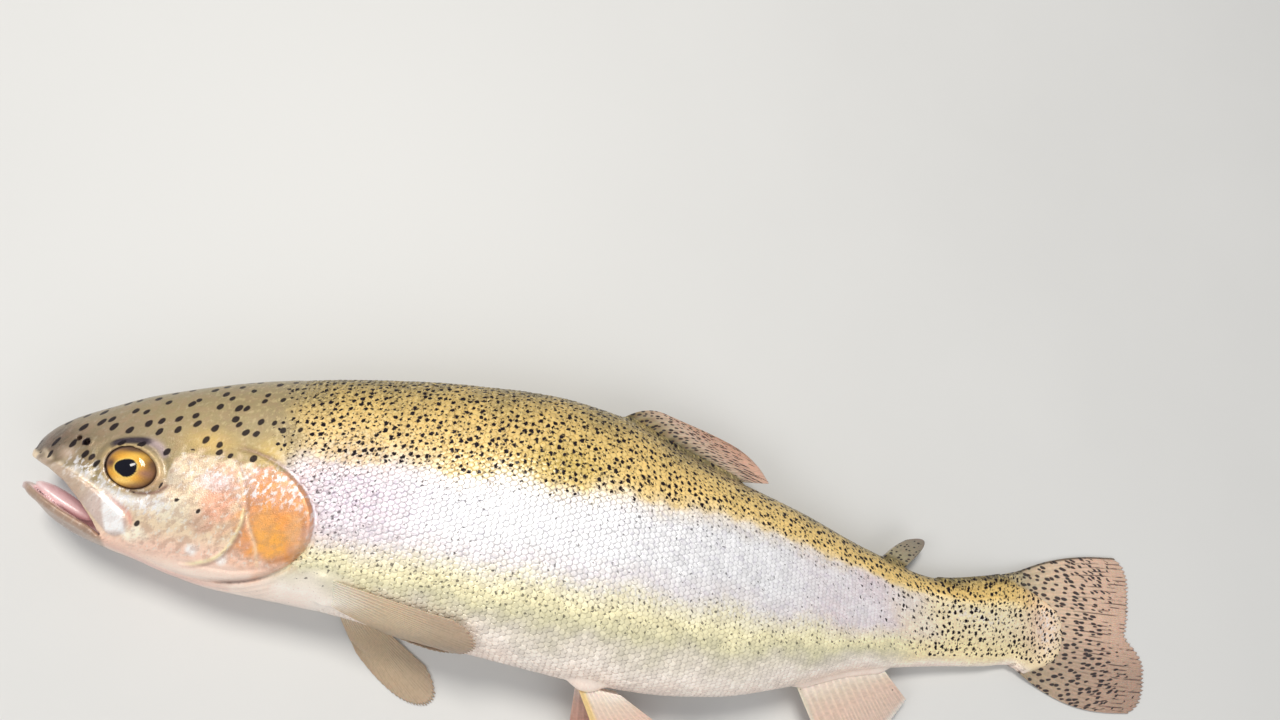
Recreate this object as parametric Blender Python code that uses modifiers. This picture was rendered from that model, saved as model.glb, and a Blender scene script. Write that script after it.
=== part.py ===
"""A life-size rainbow trout lying on its right flank, as it rests on a flat surface.

+X runs from the snout to the tail, +Y to the back, +Z up, out of the left flank.
The fish is first shaped straight and symmetric about its midplane, with x = 0 at the
snout and y = 0 on its long axis. Each piece is then settled: lifted to the height at
which its midplane lies above the floor, and pressed flat where it meets the floor.
Lengths in this file are millimetres until a mesh is made.
"""

import math

import bmesh
import bpy
import numpy as np
from mathutils import Vector
from mathutils.bvhtree import BVHTree

MM = 0.001
GAP = 0.3  # clearance between neighbouring pieces
SINK = 0.8  # how far the soft flank is pressed flat on the floor
FIN_EDGE = 0.6  # thickness of a fin's free edge
AROUND = 28  # points round the body

# Where one named length of the body ends and the next begins, along x.
GILL_LINE = 68.0
TRUNK_MIDDLE = 150.0
VENT = 214.0
TAIL_BASE = 292.0

# The body as upright rings: x, back, belly, height of the widest point, half width.
BODY_STATIONS = (
    (-1.0, 1.4, -7.4, -3.2, 2.0),
    (-0.2, 3.4, -9.8, -3.5, 3.8),
    (1.4, 5.6, -11.8, -3.9, 5.8),
    (3.8, 8.0, -13.5, -4.3, 7.8),
    (8.4, 11.2, -16.7, -4.8, 10.3),
    (14.3, 14.4, -19.4, -5.2, 12.0),
    (23.5, 19.1, -22.0, -5.4, 13.6),
    (31.0, 22.0, -23.7, -5.2, 14.6),
    (40.5, 25.3, -26.2, -5.0, 15.6),
    (51.7, 28.6, -28.2, -4.6, 16.8),
    (58.0, 30.1, -28.6, -4.4, 17.3),
    (70.0, 32.8, -29.2, -3.8, 18.2),
    (84.0, 35.2, -30.4, -2.8, 19.1),
    (105.0, 37.8, -33.4, -1.0, 20.3),
    (130.0, 39.2, -36.2, 0.0, 21.0),
    (150.0, 37.2, -38.2, -0.5, 20.8),
    (170.0, 30.6, -38.9, -2.0, 19.6),
    (190.0, 24.8, -37.4, -4.0, 17.4),
    (212.0, 19.4, -32.4, -5.5, 14.2),
    (235.0, 12.7, -25.0, -6.2, 10.2),
    (262.0, 7.4, -20.3, -6.6, 6.2),
    (280.0, 10.3, -18.0, -4.0, 4.6),
    (TAIL_BASE, 13.8, -16.2, -1.8, 3.0),
)
ROUNDNESS = 2.25  # exponent of the sections' superellipse; 2 would be an ellipse

EYE_CENTRE = (27.4, -1.2, 11.7)
EYE_RADII = (7.0, 5.7, 3.6)
EYE_LEAN = -18  # degrees that the eye's long axis drops towards the rear
HEAD_TILT = 0.045  # how much the midplane drops, per millimetre, from the gills to the snout

GILL_COVER_MIDDLE = (50.0, -10.2)
GILL_COVER_REACH = {"back": 25.0, "front": 7.5, "top": 17.6, "bottom": 15.2}
GILL_COVER_PROUD = 0.7
JAW_PLATE_LINE = ((2.6, -2.0), (14.5, -6.9), (26.6, -15.2))  # along the middle of the maxilla
JAW_PLATE_WIDTHS = (1.6, 3.6, 6.2)
UPPER_LIP = ((-12.0, -1.3), (-1.2, -1.6), (6.6, -4.3), (12.1, -7.2), (17.2, -11.6), (20.8, -15.8))
LOWER_LIP = ((-12.0, -7.4), (-1.0, -7.8), (2.2, -9.6), (6.1, -11.3), (12.7, -14.2), (19.3, -16.8))
MOUTH_CORNER = (22.4, -18.6)
JAW_HINGE_LOW = (28.8, -32.0)

TAIL_FIN_REACH = 44.5
LOWER_LOBE = 6.2  # how much further the tail's lower lobe reaches
CORNER_ROUNDING = 0.18  # share of the ray lost at each corner of a pectoral fin


def smooth_table(keys, values, at):
    """Values read from a table by cubic curves that never overshoot it."""
    keys = np.asarray(keys, float)
    values = np.asarray(values, float)
    at = np.clip(np.asarray(at, float), keys[0], keys[-1])
    steps = np.diff(keys)
    slopes = np.diff(values, axis=0) / (steps[:, None] if values.ndim > 1 else steps)
    tangents = np.zeros_like(values)
    tangents[0], tangents[-1] = slopes[0], slopes[-1]
    before, after = slopes[:-1], slopes[1:]
    same_way = before * after > 0
    mean = 2 * before * after / np.where(same_way, before + after, 1.0)
    tangents[1:-1] = np.where(same_way, mean, 0.0)
    i = np.clip(np.searchsorted(keys, at, side="right") - 1, 0, len(steps) - 1)
    t = (at - keys[i]) / steps[i]
    h = steps[i]
    if values.ndim > 1:
        t, h = t[..., None], h[..., None]
    return (
        (1 + 2 * t) * (1 - t) ** 2 * values[i]
        + t * (1 - t) ** 2 * h * tangents[i]
        + t * t * (3 - 2 * t) * values[i + 1]
        + t * t * (t - 1) * h * tangents[i + 1]
    )


STATION_ROWS = np.array(BODY_STATIONS)


def smoothstep(low, high, value):
    t = min(1.0, max(0.0, (value - low) / (high - low)))
    return t * t * (3 - 2 * t)


def section_at(x):
    """Back, belly, height of the widest point and half width at x."""
    return smooth_table(STATION_ROWS[:, 0], STATION_ROWS[:, 1:], x)


def ring_points(x, around=AROUND):
    """Points of one ring, from the left side over the back, the right side and the belly."""
    back, belly, level, half_width = section_at(x)
    turn = np.arange(around) * 2 * math.pi / around
    rise, out = np.sin(turn), np.cos(turn)
    power = 2 / ROUNDNESS
    share = np.abs(rise) ** power
    y = level + (np.where(rise > 0, back, belly) - level) * share
    z = half_width * np.sign(out) * np.abs(out) ** power
    return np.stack([np.full(around, x), y, z], axis=1)


def back_at(x):
    return section_at(x)[0]


def belly_at(x):
    return section_at(x)[1]


def half_width_at(x):
    return section_at(x)[3]


def lift_at(x):
    """Height of the midplane above the floor: the flank lies on the floor from the gill covers back."""
    resting = GILL_LINE + 6
    if x < resting:
        return lift_at(resting) - HEAD_TILT * (resting - x)
    if x < TAIL_BASE:
        return half_width_at(x) - SINK * min(1.0, half_width_at(x) / 20)
    flat = FIN_EDGE
    fade = min(1.0, (x - TAIL_BASE) / 14)
    start = half_width_at(TAIL_BASE) * 0.96
    return start + (flat - start) * fade * fade * (3 - 2 * fade)


def settle(points):
    """Lifts points, in millimetres, to where they rest, and presses them flat on the floor."""
    points = np.array(points, float)
    lifts = np.array([lift_at(x) for x in points[:, 0]])
    points[:, 2] = np.maximum(points[:, 2] + lifts, 0.0)
    return points


def new_object(name, points, faces, collection):
    mesh = bpy.data.meshes.new(name)
    mesh.from_pydata([tuple(p * MM) for p in np.asarray(points, float)], [], faces)
    mesh.update()
    made = bpy.data.objects.new(name, mesh)
    collection.objects.link(made)
    face_outwards(made)
    return made


def face_outwards(made):
    work = bmesh.new()
    work.from_mesh(made.data)
    bmesh.ops.recalc_face_normals(work, faces=work.faces)
    work.to_mesh(made.data)
    work.free()


def loft(name, places, collection):
    """A closed solid through the rings at these places along x, with flat ends."""
    rings = [ring_points(x) for x in places]
    points = np.concatenate(rings)
    faces = []
    for i in range(len(rings) - 1):
        for j in range(AROUND):
            k = (j + 1) % AROUND
            faces.append((i * AROUND + j, i * AROUND + k, (i + 1) * AROUND + k, (i + 1) * AROUND + j))
    faces.append(tuple(range(AROUND)))
    last = (len(rings) - 1) * AROUND
    faces.append(tuple(last + j for j in range(AROUND)))
    return new_object(name, points, faces, collection)


def boolean(target, cutter, operation):
    modifier = target.modifiers.new("cut_by_" + cutter.name, "BOOLEAN")
    modifier.operation = operation
    modifier.object = cutter


def hide_helper(made):
    made.hide_render = True
    made.display_type = "WIRE"


def finished(made):
    """The object with its modifiers applied and its points settled on the floor."""
    bpy.context.view_layer.update()
    graph = bpy.context.evaluated_depsgraph_get()
    mesh = bpy.data.meshes.new_from_object(made.evaluated_get(graph))
    made.modifiers.clear()
    mesh.transform(made.matrix_world)
    made.matrix_world.identity()
    places = np.array([v.co for v in mesh.vertices]) / MM
    settled = settle(places) * MM
    for vertex, place in zip(mesh.vertices, settled, strict=True):
        vertex.co = place
    made.data = mesh
    return made


class Flank:
    """The body's left surface as a height over the midplane, read by dropping a ray on it."""

    def __init__(self, whole):
        work = bmesh.new()
        work.from_mesh(whole.data)
        bmesh.ops.triangulate(work, faces=work.faces)
        self.tree = BVHTree.FromBMesh(work)
        work.free()

    def height(self, x, y):
        hit = self.tree.ray_cast(Vector((x * MM, y * MM, 60 * MM)), Vector((0, 0, -1)))[0]
        return hit.z / MM if hit else 0.0


def plate(name, outline, middle, bottom, top, collection, rings=4):
    """A solid sheet over an outline, between the heights bottom(x, y) and top(x, y)."""
    count = len(outline)
    flat = [middle]
    for i in range(1, rings + 1):
        share = i / rings
        flat += [
            (middle[0] + (x - middle[0]) * share, middle[1] + (y - middle[1]) * share)
            for x, y in outline
        ]
    points = [(x, y, top(x, y)) for x, y in flat] + [(x, y, bottom(x, y)) for x, y in flat]
    half = len(flat)
    faces = []
    for side in (0, half):
        for j in range(count):
            k = (j + 1) % count
            faces.append((side, side + 1 + j, side + 1 + k))
            for i in range(rings - 1):
                a = side + 1 + i * count
                faces.append((a + j, a + count + j, a + count + k, a + k))
    rim = 1 + (rings - 1) * count
    for j in range(count):
        k = (j + 1) % count
        faces.append((rim + j, half + rim + j, half + rim + k, rim + k))
    return new_object(name, points, faces, collection)


def gill_cover_outline(grow=0.0, count=28):
    """The cover seen from the side: four quarter ellipses round one middle."""
    reach = {side: size + grow for side, size in GILL_COVER_REACH.items()}
    points = []
    for i in range(count):
        turn = 2 * math.pi * i / count
        along = reach["back"] if math.cos(turn) > 0 else reach["front"]
        high = reach["top"] if math.sin(turn) > 0 else reach["bottom"]
        points.append(
            (GILL_COVER_MIDDLE[0] + along * math.cos(turn), GILL_COVER_MIDDLE[1] + high * math.sin(turn))
        )
    return points


def jaw_plate_outline(grow=0.0, steps=6):
    """The maxilla seen from the side: a strap that widens to a round end behind the mouth's corner."""
    start, middle, end = (np.array(p) for p in JAW_PLATE_LINE)
    upper, lower = [], []
    for i in range(steps + 1):
        t = i / steps
        place = (1 - t) ** 2 * start + 2 * t * (1 - t) * middle + t * t * end
        along = (1 - t) * (middle - start) + t * (end - middle)
        across = np.array((-along[1], along[0])) / np.linalg.norm(along)
        half = np.interp(t, (0, 0.5, 1), JAW_PLATE_WIDTHS) / 2 + grow
        upper.append(place + across * half)
        lower.append(place - across * half)
    half = JAW_PLATE_WIDTHS[-1] / 2 + grow
    heading = math.atan2(*(end - middle)[::-1])
    rounded = [
        end + half * np.array((math.cos(heading + turn), math.sin(heading + turn)))
        for turn in np.linspace(-math.pi / 2, math.pi / 2, 7)[1:-1]
    ]
    outline = lower + rounded + upper[::-1]
    return [tuple(p) for p in outline], tuple((start + middle * 2 + end * 2) / 5)


def mirrored(function):
    return lambda x, y: -function(x, y)


def side_plates(name, outline, middle, flank, depth, proud, parts):
    """A left and a right plate let into the body's sides."""
    made = []
    for side in ("left", "right"):
        bottom = lambda x, y: flank.height(x, y) - depth
        top = lambda x, y: flank.height(x, y) + proud
        if side == "right":
            bottom, top = mirrored(bottom), mirrored(top)
        made.append(plate(f"{name}_{side}", outline, middle, bottom, top, parts))
    return made


def recess_cutters(name, outline, middle, flank, depth, cutters):
    made = []
    for side in ("left", "right"):
        bottom = lambda x, y: flank.height(x, y) - depth - GAP
        top = lambda x, y: flank.height(x, y) + 4.0
        if side == "right":
            bottom, top = mirrored(bottom), mirrored(top)
        cutter = plate(f"{name}_recess_{side}", outline, middle, bottom, top, cutters)
        hide_helper(cutter)
        made.append(cutter)
    return made


def fin(name, root, tip, bulge, thickness, collection, along=12, out=6):
    """A fin as a grid of rays from root(u) to tip(u), made solid. bulge(u, v) bends it, and
    thickness(u, v) is its full thickness, thinnest at the free edge."""
    points, weights = [], []
    thickest = max(thickness(u / along, 0.0) for u in range(along + 1))
    for i in range(along + 1):
        u = i / along
        start, end = np.array(root(u), float), np.array(tip(u), float)
        for j in range(out + 1):
            v = j / out
            points.append(start + (end - start) * v + np.array(bulge(u, v)))
            weights.append(thickness(u, v) / thickest)
    faces = []
    for i in range(along):
        for j in range(out):
            a = i * (out + 1) + j
            faces.append((a, a + 1, a + out + 2, a + out + 1))
    made = new_object(name, points, faces, collection)
    group = made.vertex_groups.new(name="thickness")
    for i, weight in enumerate(weights):
        group.add([i], max(weight, 0.01), "REPLACE")
    solid = made.modifiers.new("solid", "SOLIDIFY")
    solid.thickness = thickest * MM
    solid.offset = 0.0
    solid.vertex_group = "thickness"
    return made


def bow(first, middle, last, t):
    """A curve that starts at first, passes middle halfway and ends at last."""
    first, middle, last = (np.array(p, float) for p in (first, middle, last))
    pull = 2 * middle - (first + last) / 2
    return (1 - t) ** 2 * first + 2 * t * (1 - t) * pull + t * t * last


def taper(base, u, v, edge=FIN_EDGE):
    return edge + (base - edge) * (1 - v) ** 2


def dorsal_fin(parts):
    """Folded back along the body, with its first rays the longest."""
    front, rear = 152.5, 191.5

    def root(u):
        x = front + (rear - front) * u
        return (x, back_at(x) + GAP + 0.2, 0.0)

    return fin(
        "dorsal_fin",
        root,
        lambda u: (164.0 + 36.7 * u, 40.6 - 7.6 * u - 6.9 * u**6, 0.0),
        lambda u, v: (0, 5.4 * (1 - u) ** 2 * v * (1 - v), 0.0),
        lambda u, v: taper(2.2, u, v),
        parts,
    )


def adipose_fin(parts):
    front, rear = 243.0, 251.0

    def root(u):
        x = front + (rear - front) * u
        return (x, back_at(x) + GAP + 0.1, 0.0)

    return fin(
        "adipose_fin",
        root,
        lambda u: (*bow((251.0, 17.6), (257.4, 18.2), (255.2, 13.2), u), 0.0),
        lambda u, v: (-1.2 * v * (1 - v) * (1 - u), 1.6 * v * (1 - v) * (1 - u), 0.0),
        lambda u, v: taper(2.4, u, v, 0.9),
        parts,
        along=6,
        out=5,
    )


def anal_fin(parts):
    front, rear = 217.0, 246.5

    def root(u):
        x = front + (rear - front) * u
        return (x, belly_at(x) - GAP - 0.2, 0.0)

    return fin(
        "anal_fin",
        root,
        lambda u: (*bow((236.0, -57.0), (246.0, -45.0), (256.5, -31.0), u), 0.0),
        lambda u, v: (-2.0 * v * (1 - v) * (1 - u), -1.4 * v * (1 - v), -2.5 * v * v),
        lambda u, v: taper(2.0, u, v),
        parts,
    )


def tail_fin(parts):
    """It starts as thick as the tail stalk and thins to a blade that lies on the floor."""
    start = TAIL_BASE + GAP
    high, low = back_at(TAIL_BASE), belly_at(TAIL_BASE)
    stalk = 2 * half_width_at(TAIL_BASE)

    def tip(u):
        lower_lobe = LOWER_LOBE * smoothstep(0.4, 0.72, u)
        notch = 2.5 * math.exp(-(((2 * u - 1.04) / 0.14) ** 2))
        corner = 5.5 * abs(2 * u - 1) ** 8
        return (TAIL_BASE + TAIL_FIN_REACH + lower_lobe - notch - corner, 24.4 - 49.6 * u, 0.0)

    def flare(u, v):
        side = 1 - 2 * u
        return (0, side * (2.2 if side > 0 else 4.6) * math.sin(math.pi * v), 0.0)

    def thickness(u, v):
        flesh = stalk * math.sqrt(max(0.0, 1 - (2 * u - 1) ** 2)) * max(0.0, 1 - 4.2 * v) ** 1.2
        return max(flesh, 1.3 - 0.7 * v, FIN_EDGE)

    return fin(
        "tail_fin",
        lambda u: (start, high + (low - high) * u, 0.0),
        tip,
        flare,
        thickness,
        parts,
        along=18,
        out=9,
    )


def pelvic_fins(parts):
    """They hang from the belly. The right one, underneath, reaches down to the floor."""
    made = []
    for side, lean, drop in ((1, 0.0, 3.0), (-1, -11.0, -14.5)):
        name = "pelvic_fin_left" if side > 0 else "pelvic_fin_right"

        def root(u, side=side):
            x = 151.0 + 12.5 * u
            return (x, belly_at(x) - GAP - 0.9, side * (3.0 + 1.6 * u))

        def tip(u, side=side, lean=lean, drop=drop):
            x, y = bow((164.5 + lean, -62.0), (175.0 + lean * 0.8, -58.0), (180.0 + lean * 0.5, -48.5), u)
            return (x, y, side * 3.5 + drop * (1 - 0.3 * u) * (1 if side < 0 else -0.6))

        made.append(
            fin(
                name,
                root,
                tip,
                lambda u, v, side=side: (0, 0, side * 2.0 * v * (1 - v)),
                lambda u, v: taper(1.8, u, v),
                parts,
                along=7,
            )
        )
    return made


def rounded(u, v):
    """The share v of a ray's length, less at a fin's two corners."""
    return v * (1 - CORNER_ROUNDING * abs(2 * u - 1) ** 4)


def pectoral_fins(parts, flank):
    """The left one lies back along the flank, and the right one spreads under the breast on the floor."""

    def lying(u, v):
        v = rounded(u, v)
        root = np.array((79.5 + 1.5 * u, -20.5 - 6.0 * u))
        tip = bow((123.5, -27.5), (117.5, -35.0), (99.0, -32.6), u)
        x, y = root + (tip - root) * v + np.array((0, -1.2 * v * (1 - v)))
        return x, y, flank.height(x, y) + GAP + 1.05 + 2.3 * v * v

    def spread(u, v):
        v = rounded(u, v)
        root = np.array((79.0 + 1.5 * u, -20.5 - 5.0 * u))
        tip = bow((117.0, -45.5), (109.0, -52.0), (92.0, -43.0), u)
        x, y = root + (tip - root) * v + np.array((0, -3.0 * v * (1 - v)))
        under = flank.height(x, y) if y > belly_at(x) + 0.5 else 0.0
        floor = lift_at(x) - 0.5
        return x, y, -min(floor, max(under + GAP + 0.9, floor * (0.72 + 0.28 * min(1.0, 1.6 * v))))

    made = []
    for name, place in (("pectoral_fin_left", lying), ("pectoral_fin_right", spread)):
        made.append(
            fin(
                name,
                lambda u, place=place: place(u, 0.0),
                lambda u, place=place: place(u, 1.0),
                lambda u, v, place=place: np.array(place(u, v))
                - (np.array(place(u, 0.0)) * (1 - v) + np.array(place(u, 1.0)) * v),
                lambda u, v: taper(1.2, u, v),
                parts,
                along=9,
                out=8,
            )
        )
    return made


def eyes(parts, cutters):
    made, sockets = [], []
    x, y, z = EYE_CENTRE
    for side, name in ((1, "eye_left"), (-1, "eye_right")):
        for grow, label, target in ((0.0, name, parts), (GAP, name + "_socket", cutters)):
            work = bmesh.new()
            bmesh.ops.create_uvsphere(work, u_segments=20, v_segments=12, radius=1.0)
            mesh = bpy.data.meshes.new(label)
            work.to_mesh(mesh)
            work.free()
            ball = bpy.data.objects.new(label, mesh)
            target.objects.link(ball)
            ball.location = (x * MM, y * MM, side * z * MM)
            ball.scale = [(radius + grow) * MM for radius in EYE_RADII]
            ball.rotation_euler = (0, 0, math.radians(EYE_LEAN))
            (made if target is parts else sockets).append(ball)
    for socket in sockets:
        hide_helper(socket)
    return made, sockets


def prism(name, outline, half_depth, collection):
    """An outline in the midplane, extended to both sides."""
    count = len(outline)
    points = [(x, y, half_depth) for x, y in outline] + [(x, y, -half_depth) for x, y in outline]
    faces = [tuple(range(count)), tuple(range(count, 2 * count))]
    for j in range(count):
        k = (j + 1) % count
        faces.append((j, k, count + k, count + j))
    made = new_object(name, points, faces, collection)
    hide_helper(made)
    return made


def below(line, gap=0.0):
    """The region under one lip, in front of the jaw's hinge, seen from the side."""
    corner = (MOUTH_CORNER[0] + gap, MOUTH_CORNER[1])
    hinge = (JAW_HINGE_LOW[0] + gap, JAW_HINGE_LOW[1])
    return (*line, corner, hinge, (line[0][0], hinge[1]))


def tongue(parts):
    work = bmesh.new()
    bmesh.ops.create_uvsphere(work, u_segments=14, v_segments=8, radius=1.0)
    mesh = bpy.data.meshes.new("tongue")
    work.to_mesh(mesh)
    work.free()
    made = bpy.data.objects.new("tongue", mesh)
    parts.objects.link(made)
    made.scale = (7.0 * MM, 1.35 * MM, 4.4 * MM)
    made.rotation_euler = (0, 0, math.radians(-24))
    made.location = (8.8 * MM, -10.7 * MM, 0)
    return made


def body(parts, cutters, flank):
    """The head with its jaw, plates and eyes, and the three lengths behind it."""
    nose = np.array([-1.0, -0.4, 0.4, 1.8, 4.5, 8.0, 12.0])
    head_places = [*nose, *np.linspace(12.0, GILL_LINE - GAP / 2, 12)[1:]]
    head = loft("head", head_places, parts)
    lower_jaw = loft("lower_jaw", head_places, parts)
    lengths = {
        "trunk_front": (GILL_LINE + GAP / 2, TRUNK_MIDDLE - GAP / 2, 10),
        "trunk_rear": (TRUNK_MIDDLE + GAP / 2, VENT - GAP / 2, 8),
        "tail_stalk": (VENT + GAP / 2, TAIL_BASE, 10),
    }
    made = {}
    for name, (start, end, count) in lengths.items():
        made[name] = loft(name, np.linspace(start, end, count), parts)
    balls, sockets = eyes(parts, cutters)
    for socket in sockets:
        boolean(head, socket, "DIFFERENCE")
    boolean(head, prism("under_upper_lip", below(UPPER_LIP, GAP), 30, cutters), "DIFFERENCE")
    boolean(lower_jaw, prism("under_lower_lip", below(LOWER_LIP), 30, cutters), "INTERSECT")
    strap, strap_middle = jaw_plate_outline()
    wide_strap, _ = jaw_plate_outline(GAP)
    plates = side_plates("upper_jaw_plate", strap, strap_middle, flank, 0.9, 0.5, parts)
    for cutter in recess_cutters("upper_jaw_plate", wide_strap, strap_middle, flank, 0.9, cutters):
        boolean(head, cutter, "DIFFERENCE")
        boolean(lower_jaw, cutter, "DIFFERENCE")
    plates += side_plates(
        "gill_cover", gill_cover_outline(), GILL_COVER_MIDDLE, flank, 1.4, GILL_COVER_PROUD, parts
    )
    for cutter in recess_cutters(
        "gill_cover", gill_cover_outline(GAP), GILL_COVER_MIDDLE, flank, 1.4, cutters
    ):
        boolean(head, cutter, "DIFFERENCE")
        boolean(made["trunk_front"], cutter, "DIFFERENCE")
    return [head, lower_jaw, *made.values(), *plates, *balls]


SKIN = ("olive back and silver flank", (0.42, 0.38, 0.20), 0.35, 0.1)
FINISHES = {
    "eye": ("golden eye", (0.75, 0.45, 0.08), 0.1, 0.0),
    "gill_cover": ("pink and orange gill cover", (0.80, 0.52, 0.40), 0.3, 0.2),
    "upper_jaw_plate": ("pale jaw plate", (0.72, 0.66, 0.60), 0.35, 0.1),
    "lower_jaw": ("pale pink jaw", (0.78, 0.62, 0.58), 0.35, 0.0),
    "tongue": ("pink mouth", (0.80, 0.45, 0.48), 0.3, 0.0),
    "pelvic_fin": ("pinkish fin", (0.70, 0.55, 0.45), 0.4, 0.0),
    "pectoral_fin": ("pinkish fin", (0.66, 0.56, 0.42), 0.4, 0.0),
    "anal_fin": ("pinkish fin", (0.66, 0.52, 0.42), 0.4, 0.0),
    "dorsal_fin": ("spotted fin", (0.48, 0.40, 0.28), 0.4, 0.0),
    "adipose_fin": ("spotted fin", (0.44, 0.40, 0.24), 0.4, 0.0),
    "tail_fin": ("spotted fin", (0.50, 0.44, 0.34), 0.4, 0.0),
}


def paint(made):
    """Each piece's own material: colour, roughness and metallic value."""
    found = next((look for start, look in FINISHES.items() if made.name.startswith(start)), SKIN)
    _, colour, roughness, metallic = found
    material = bpy.data.materials.new(made.name)
    material.use_nodes = True
    shader = material.node_tree.nodes["Principled BSDF"]
    shader.inputs["Base Color"].default_value = (*colour, 1)
    shader.inputs["Roughness"].default_value = roughness
    shader.inputs["Metallic"].default_value = metallic
    made.data.materials.clear()
    made.data.materials.append(material)


def centre_on_origin(pieces):
    """Moves every piece so that the fish's box stands on the origin, centred along X and Y."""
    corners = np.array([v.co for piece in pieces for v in piece.data.vertices])
    low, high = corners.min(0), corners.max(0)
    shift = Vector((-(low[0] + high[0]) / 2, -(low[1] + high[1]) / 2, -low[2]))
    anchor = bpy.data.objects.new("trout", None)
    bpy.context.scene.collection.objects.link(anchor)
    anchor.location = shift
    for piece in pieces:
        piece.parent = anchor


def main():
    for old in list(bpy.data.objects):
        bpy.data.objects.remove(old)
    parts = bpy.data.collections.new("rainbow_trout")
    cutters = bpy.data.collections.new("cutters")
    bpy.context.scene.collection.children.link(parts)
    bpy.context.scene.collection.children.link(cutters)
    nose = np.linspace(STATION_ROWS[0, 0], 12.0, 12)
    whole = loft("surface_guide", [*nose, *np.linspace(12.0, TAIL_BASE, 60)[1:]], cutters)
    hide_helper(whole)
    flank = Flank(whole)
    made = body(parts, cutters, flank)
    made.append(tongue(parts))
    made += [dorsal_fin(parts), adipose_fin(parts), anal_fin(parts), tail_fin(parts)]
    made += pelvic_fins(parts)
    made += pectoral_fins(parts, flank)
    pieces = [finished(piece) for piece in made]
    for piece in pieces:
        paint(piece)
        piece.data.shade_smooth()
        piece.data.set_sharp_from_angle(angle=math.radians(40))
    centre_on_origin(pieces)


main()
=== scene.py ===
"""A rainbow trout lying on its right flank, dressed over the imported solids.

Shapes are worked out in the fish's own straight frame, in millimetres: x from the snout to the
tail, y to the back, z out of the left flank. Then they are settled on the floor and moved to
the frame's place, in metres.
"""

import itertools
import math

import bpy
import numpy as np
from mathutils import Matrix, Vector


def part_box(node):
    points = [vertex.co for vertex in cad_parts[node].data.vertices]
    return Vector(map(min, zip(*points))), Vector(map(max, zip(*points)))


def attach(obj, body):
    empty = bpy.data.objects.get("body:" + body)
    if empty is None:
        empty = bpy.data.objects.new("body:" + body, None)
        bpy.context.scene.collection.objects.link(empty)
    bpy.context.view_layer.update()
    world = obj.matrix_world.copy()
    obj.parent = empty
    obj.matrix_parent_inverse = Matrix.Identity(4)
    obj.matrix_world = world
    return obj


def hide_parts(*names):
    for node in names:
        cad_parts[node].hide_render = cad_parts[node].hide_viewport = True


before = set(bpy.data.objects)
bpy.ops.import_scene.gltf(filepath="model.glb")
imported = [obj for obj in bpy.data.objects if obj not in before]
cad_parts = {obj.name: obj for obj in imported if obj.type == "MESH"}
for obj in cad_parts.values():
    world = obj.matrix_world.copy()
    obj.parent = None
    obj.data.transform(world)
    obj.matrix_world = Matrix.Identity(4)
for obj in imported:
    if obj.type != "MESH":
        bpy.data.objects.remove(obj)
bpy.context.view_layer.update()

MM = 0.001
TINY = 1e-9
rng = np.random.default_rng(7)

# ---------------------------------------------------------------- the body's sizes, in mm

GILL_LINE = 68.0
TAIL_BASE = 292.0
FLESH_END = 311.0
SINK = 0.8  # how deep the resting flank is pressed flat
HEAD_TILT = 0.045  # how much lower the head lies, for each mm forward of the gills
FIN_EDGE = 0.6  # how thick a fin's edge is
ROUNDNESS = 2.25  # the power of the body's rounded sections
COAT_DEPTH = 0.3  # how far the skin lies inside the scales
EYE_CENTRE = (27.4, -1.2, 11.7)
EYE_RADII = (7.0, 5.7, 3.6)
EYE_LEAN = math.radians(-18)
ORBIT_GAP = 0.12  # between the eyeball and the skin around it
TAIL_FIN_REACH = 44.5  # how far the tail fin reaches behind its root
LOWER_LOBE = 6.2  # how far the tail's lower lobe passes the upper one
CORNER_ROUNDING = 0.18  # the share of its length that a pectoral's outermost ray loses

# Upright rings: x, back, belly, height of the widest point, half width.
BODY_STATIONS = (
    (-1.0, 1.4, -7.4, -3.2, 2.0),
    (-0.2, 3.4, -9.8, -3.5, 3.8),
    (1.4, 5.6, -11.8, -3.9, 5.8),
    (3.8, 8.0, -13.5, -4.3, 7.8),
    (8.4, 11.2, -16.7, -4.8, 10.3),
    (14.3, 14.4, -19.4, -5.2, 12.0),
    (23.5, 19.1, -22.0, -5.4, 13.6),
    (31.0, 22.0, -23.7, -5.2, 14.6),
    (40.5, 25.3, -26.2, -5.0, 15.6),
    (51.7, 28.6, -28.2, -4.6, 16.8),
    (58.0, 30.1, -28.6, -4.4, 17.3),
    (70.0, 32.8, -29.2, -3.8, 18.2),
    (84.0, 35.2, -30.4, -2.8, 19.1),
    (105.0, 37.8, -33.4, -1.0, 20.3),
    (130.0, 39.2, -36.2, 0.0, 21.0),
    (150.0, 37.2, -38.2, -0.5, 20.8),
    (170.0, 30.6, -38.9, -2.0, 19.6),
    (190.0, 24.8, -37.4, -4.0, 17.4),
    (212.0, 19.4, -32.4, -5.5, 14.2),
    (235.0, 12.7, -25.0, -6.2, 10.2),
    (262.0, 7.4, -20.3, -6.6, 6.2),
    (280.0, 10.3, -18.0, -4.0, 4.6),
    (TAIL_BASE, 13.8, -16.2, -1.8, 3.0),
    (298.5, 15.8, -18.8, -1.6, 1.9),
    (305.0, 17.8, -21.4, -1.6, 1.15),
    (FLESH_END, 20.0, -24.4, -1.6, 0.62),
)


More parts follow.
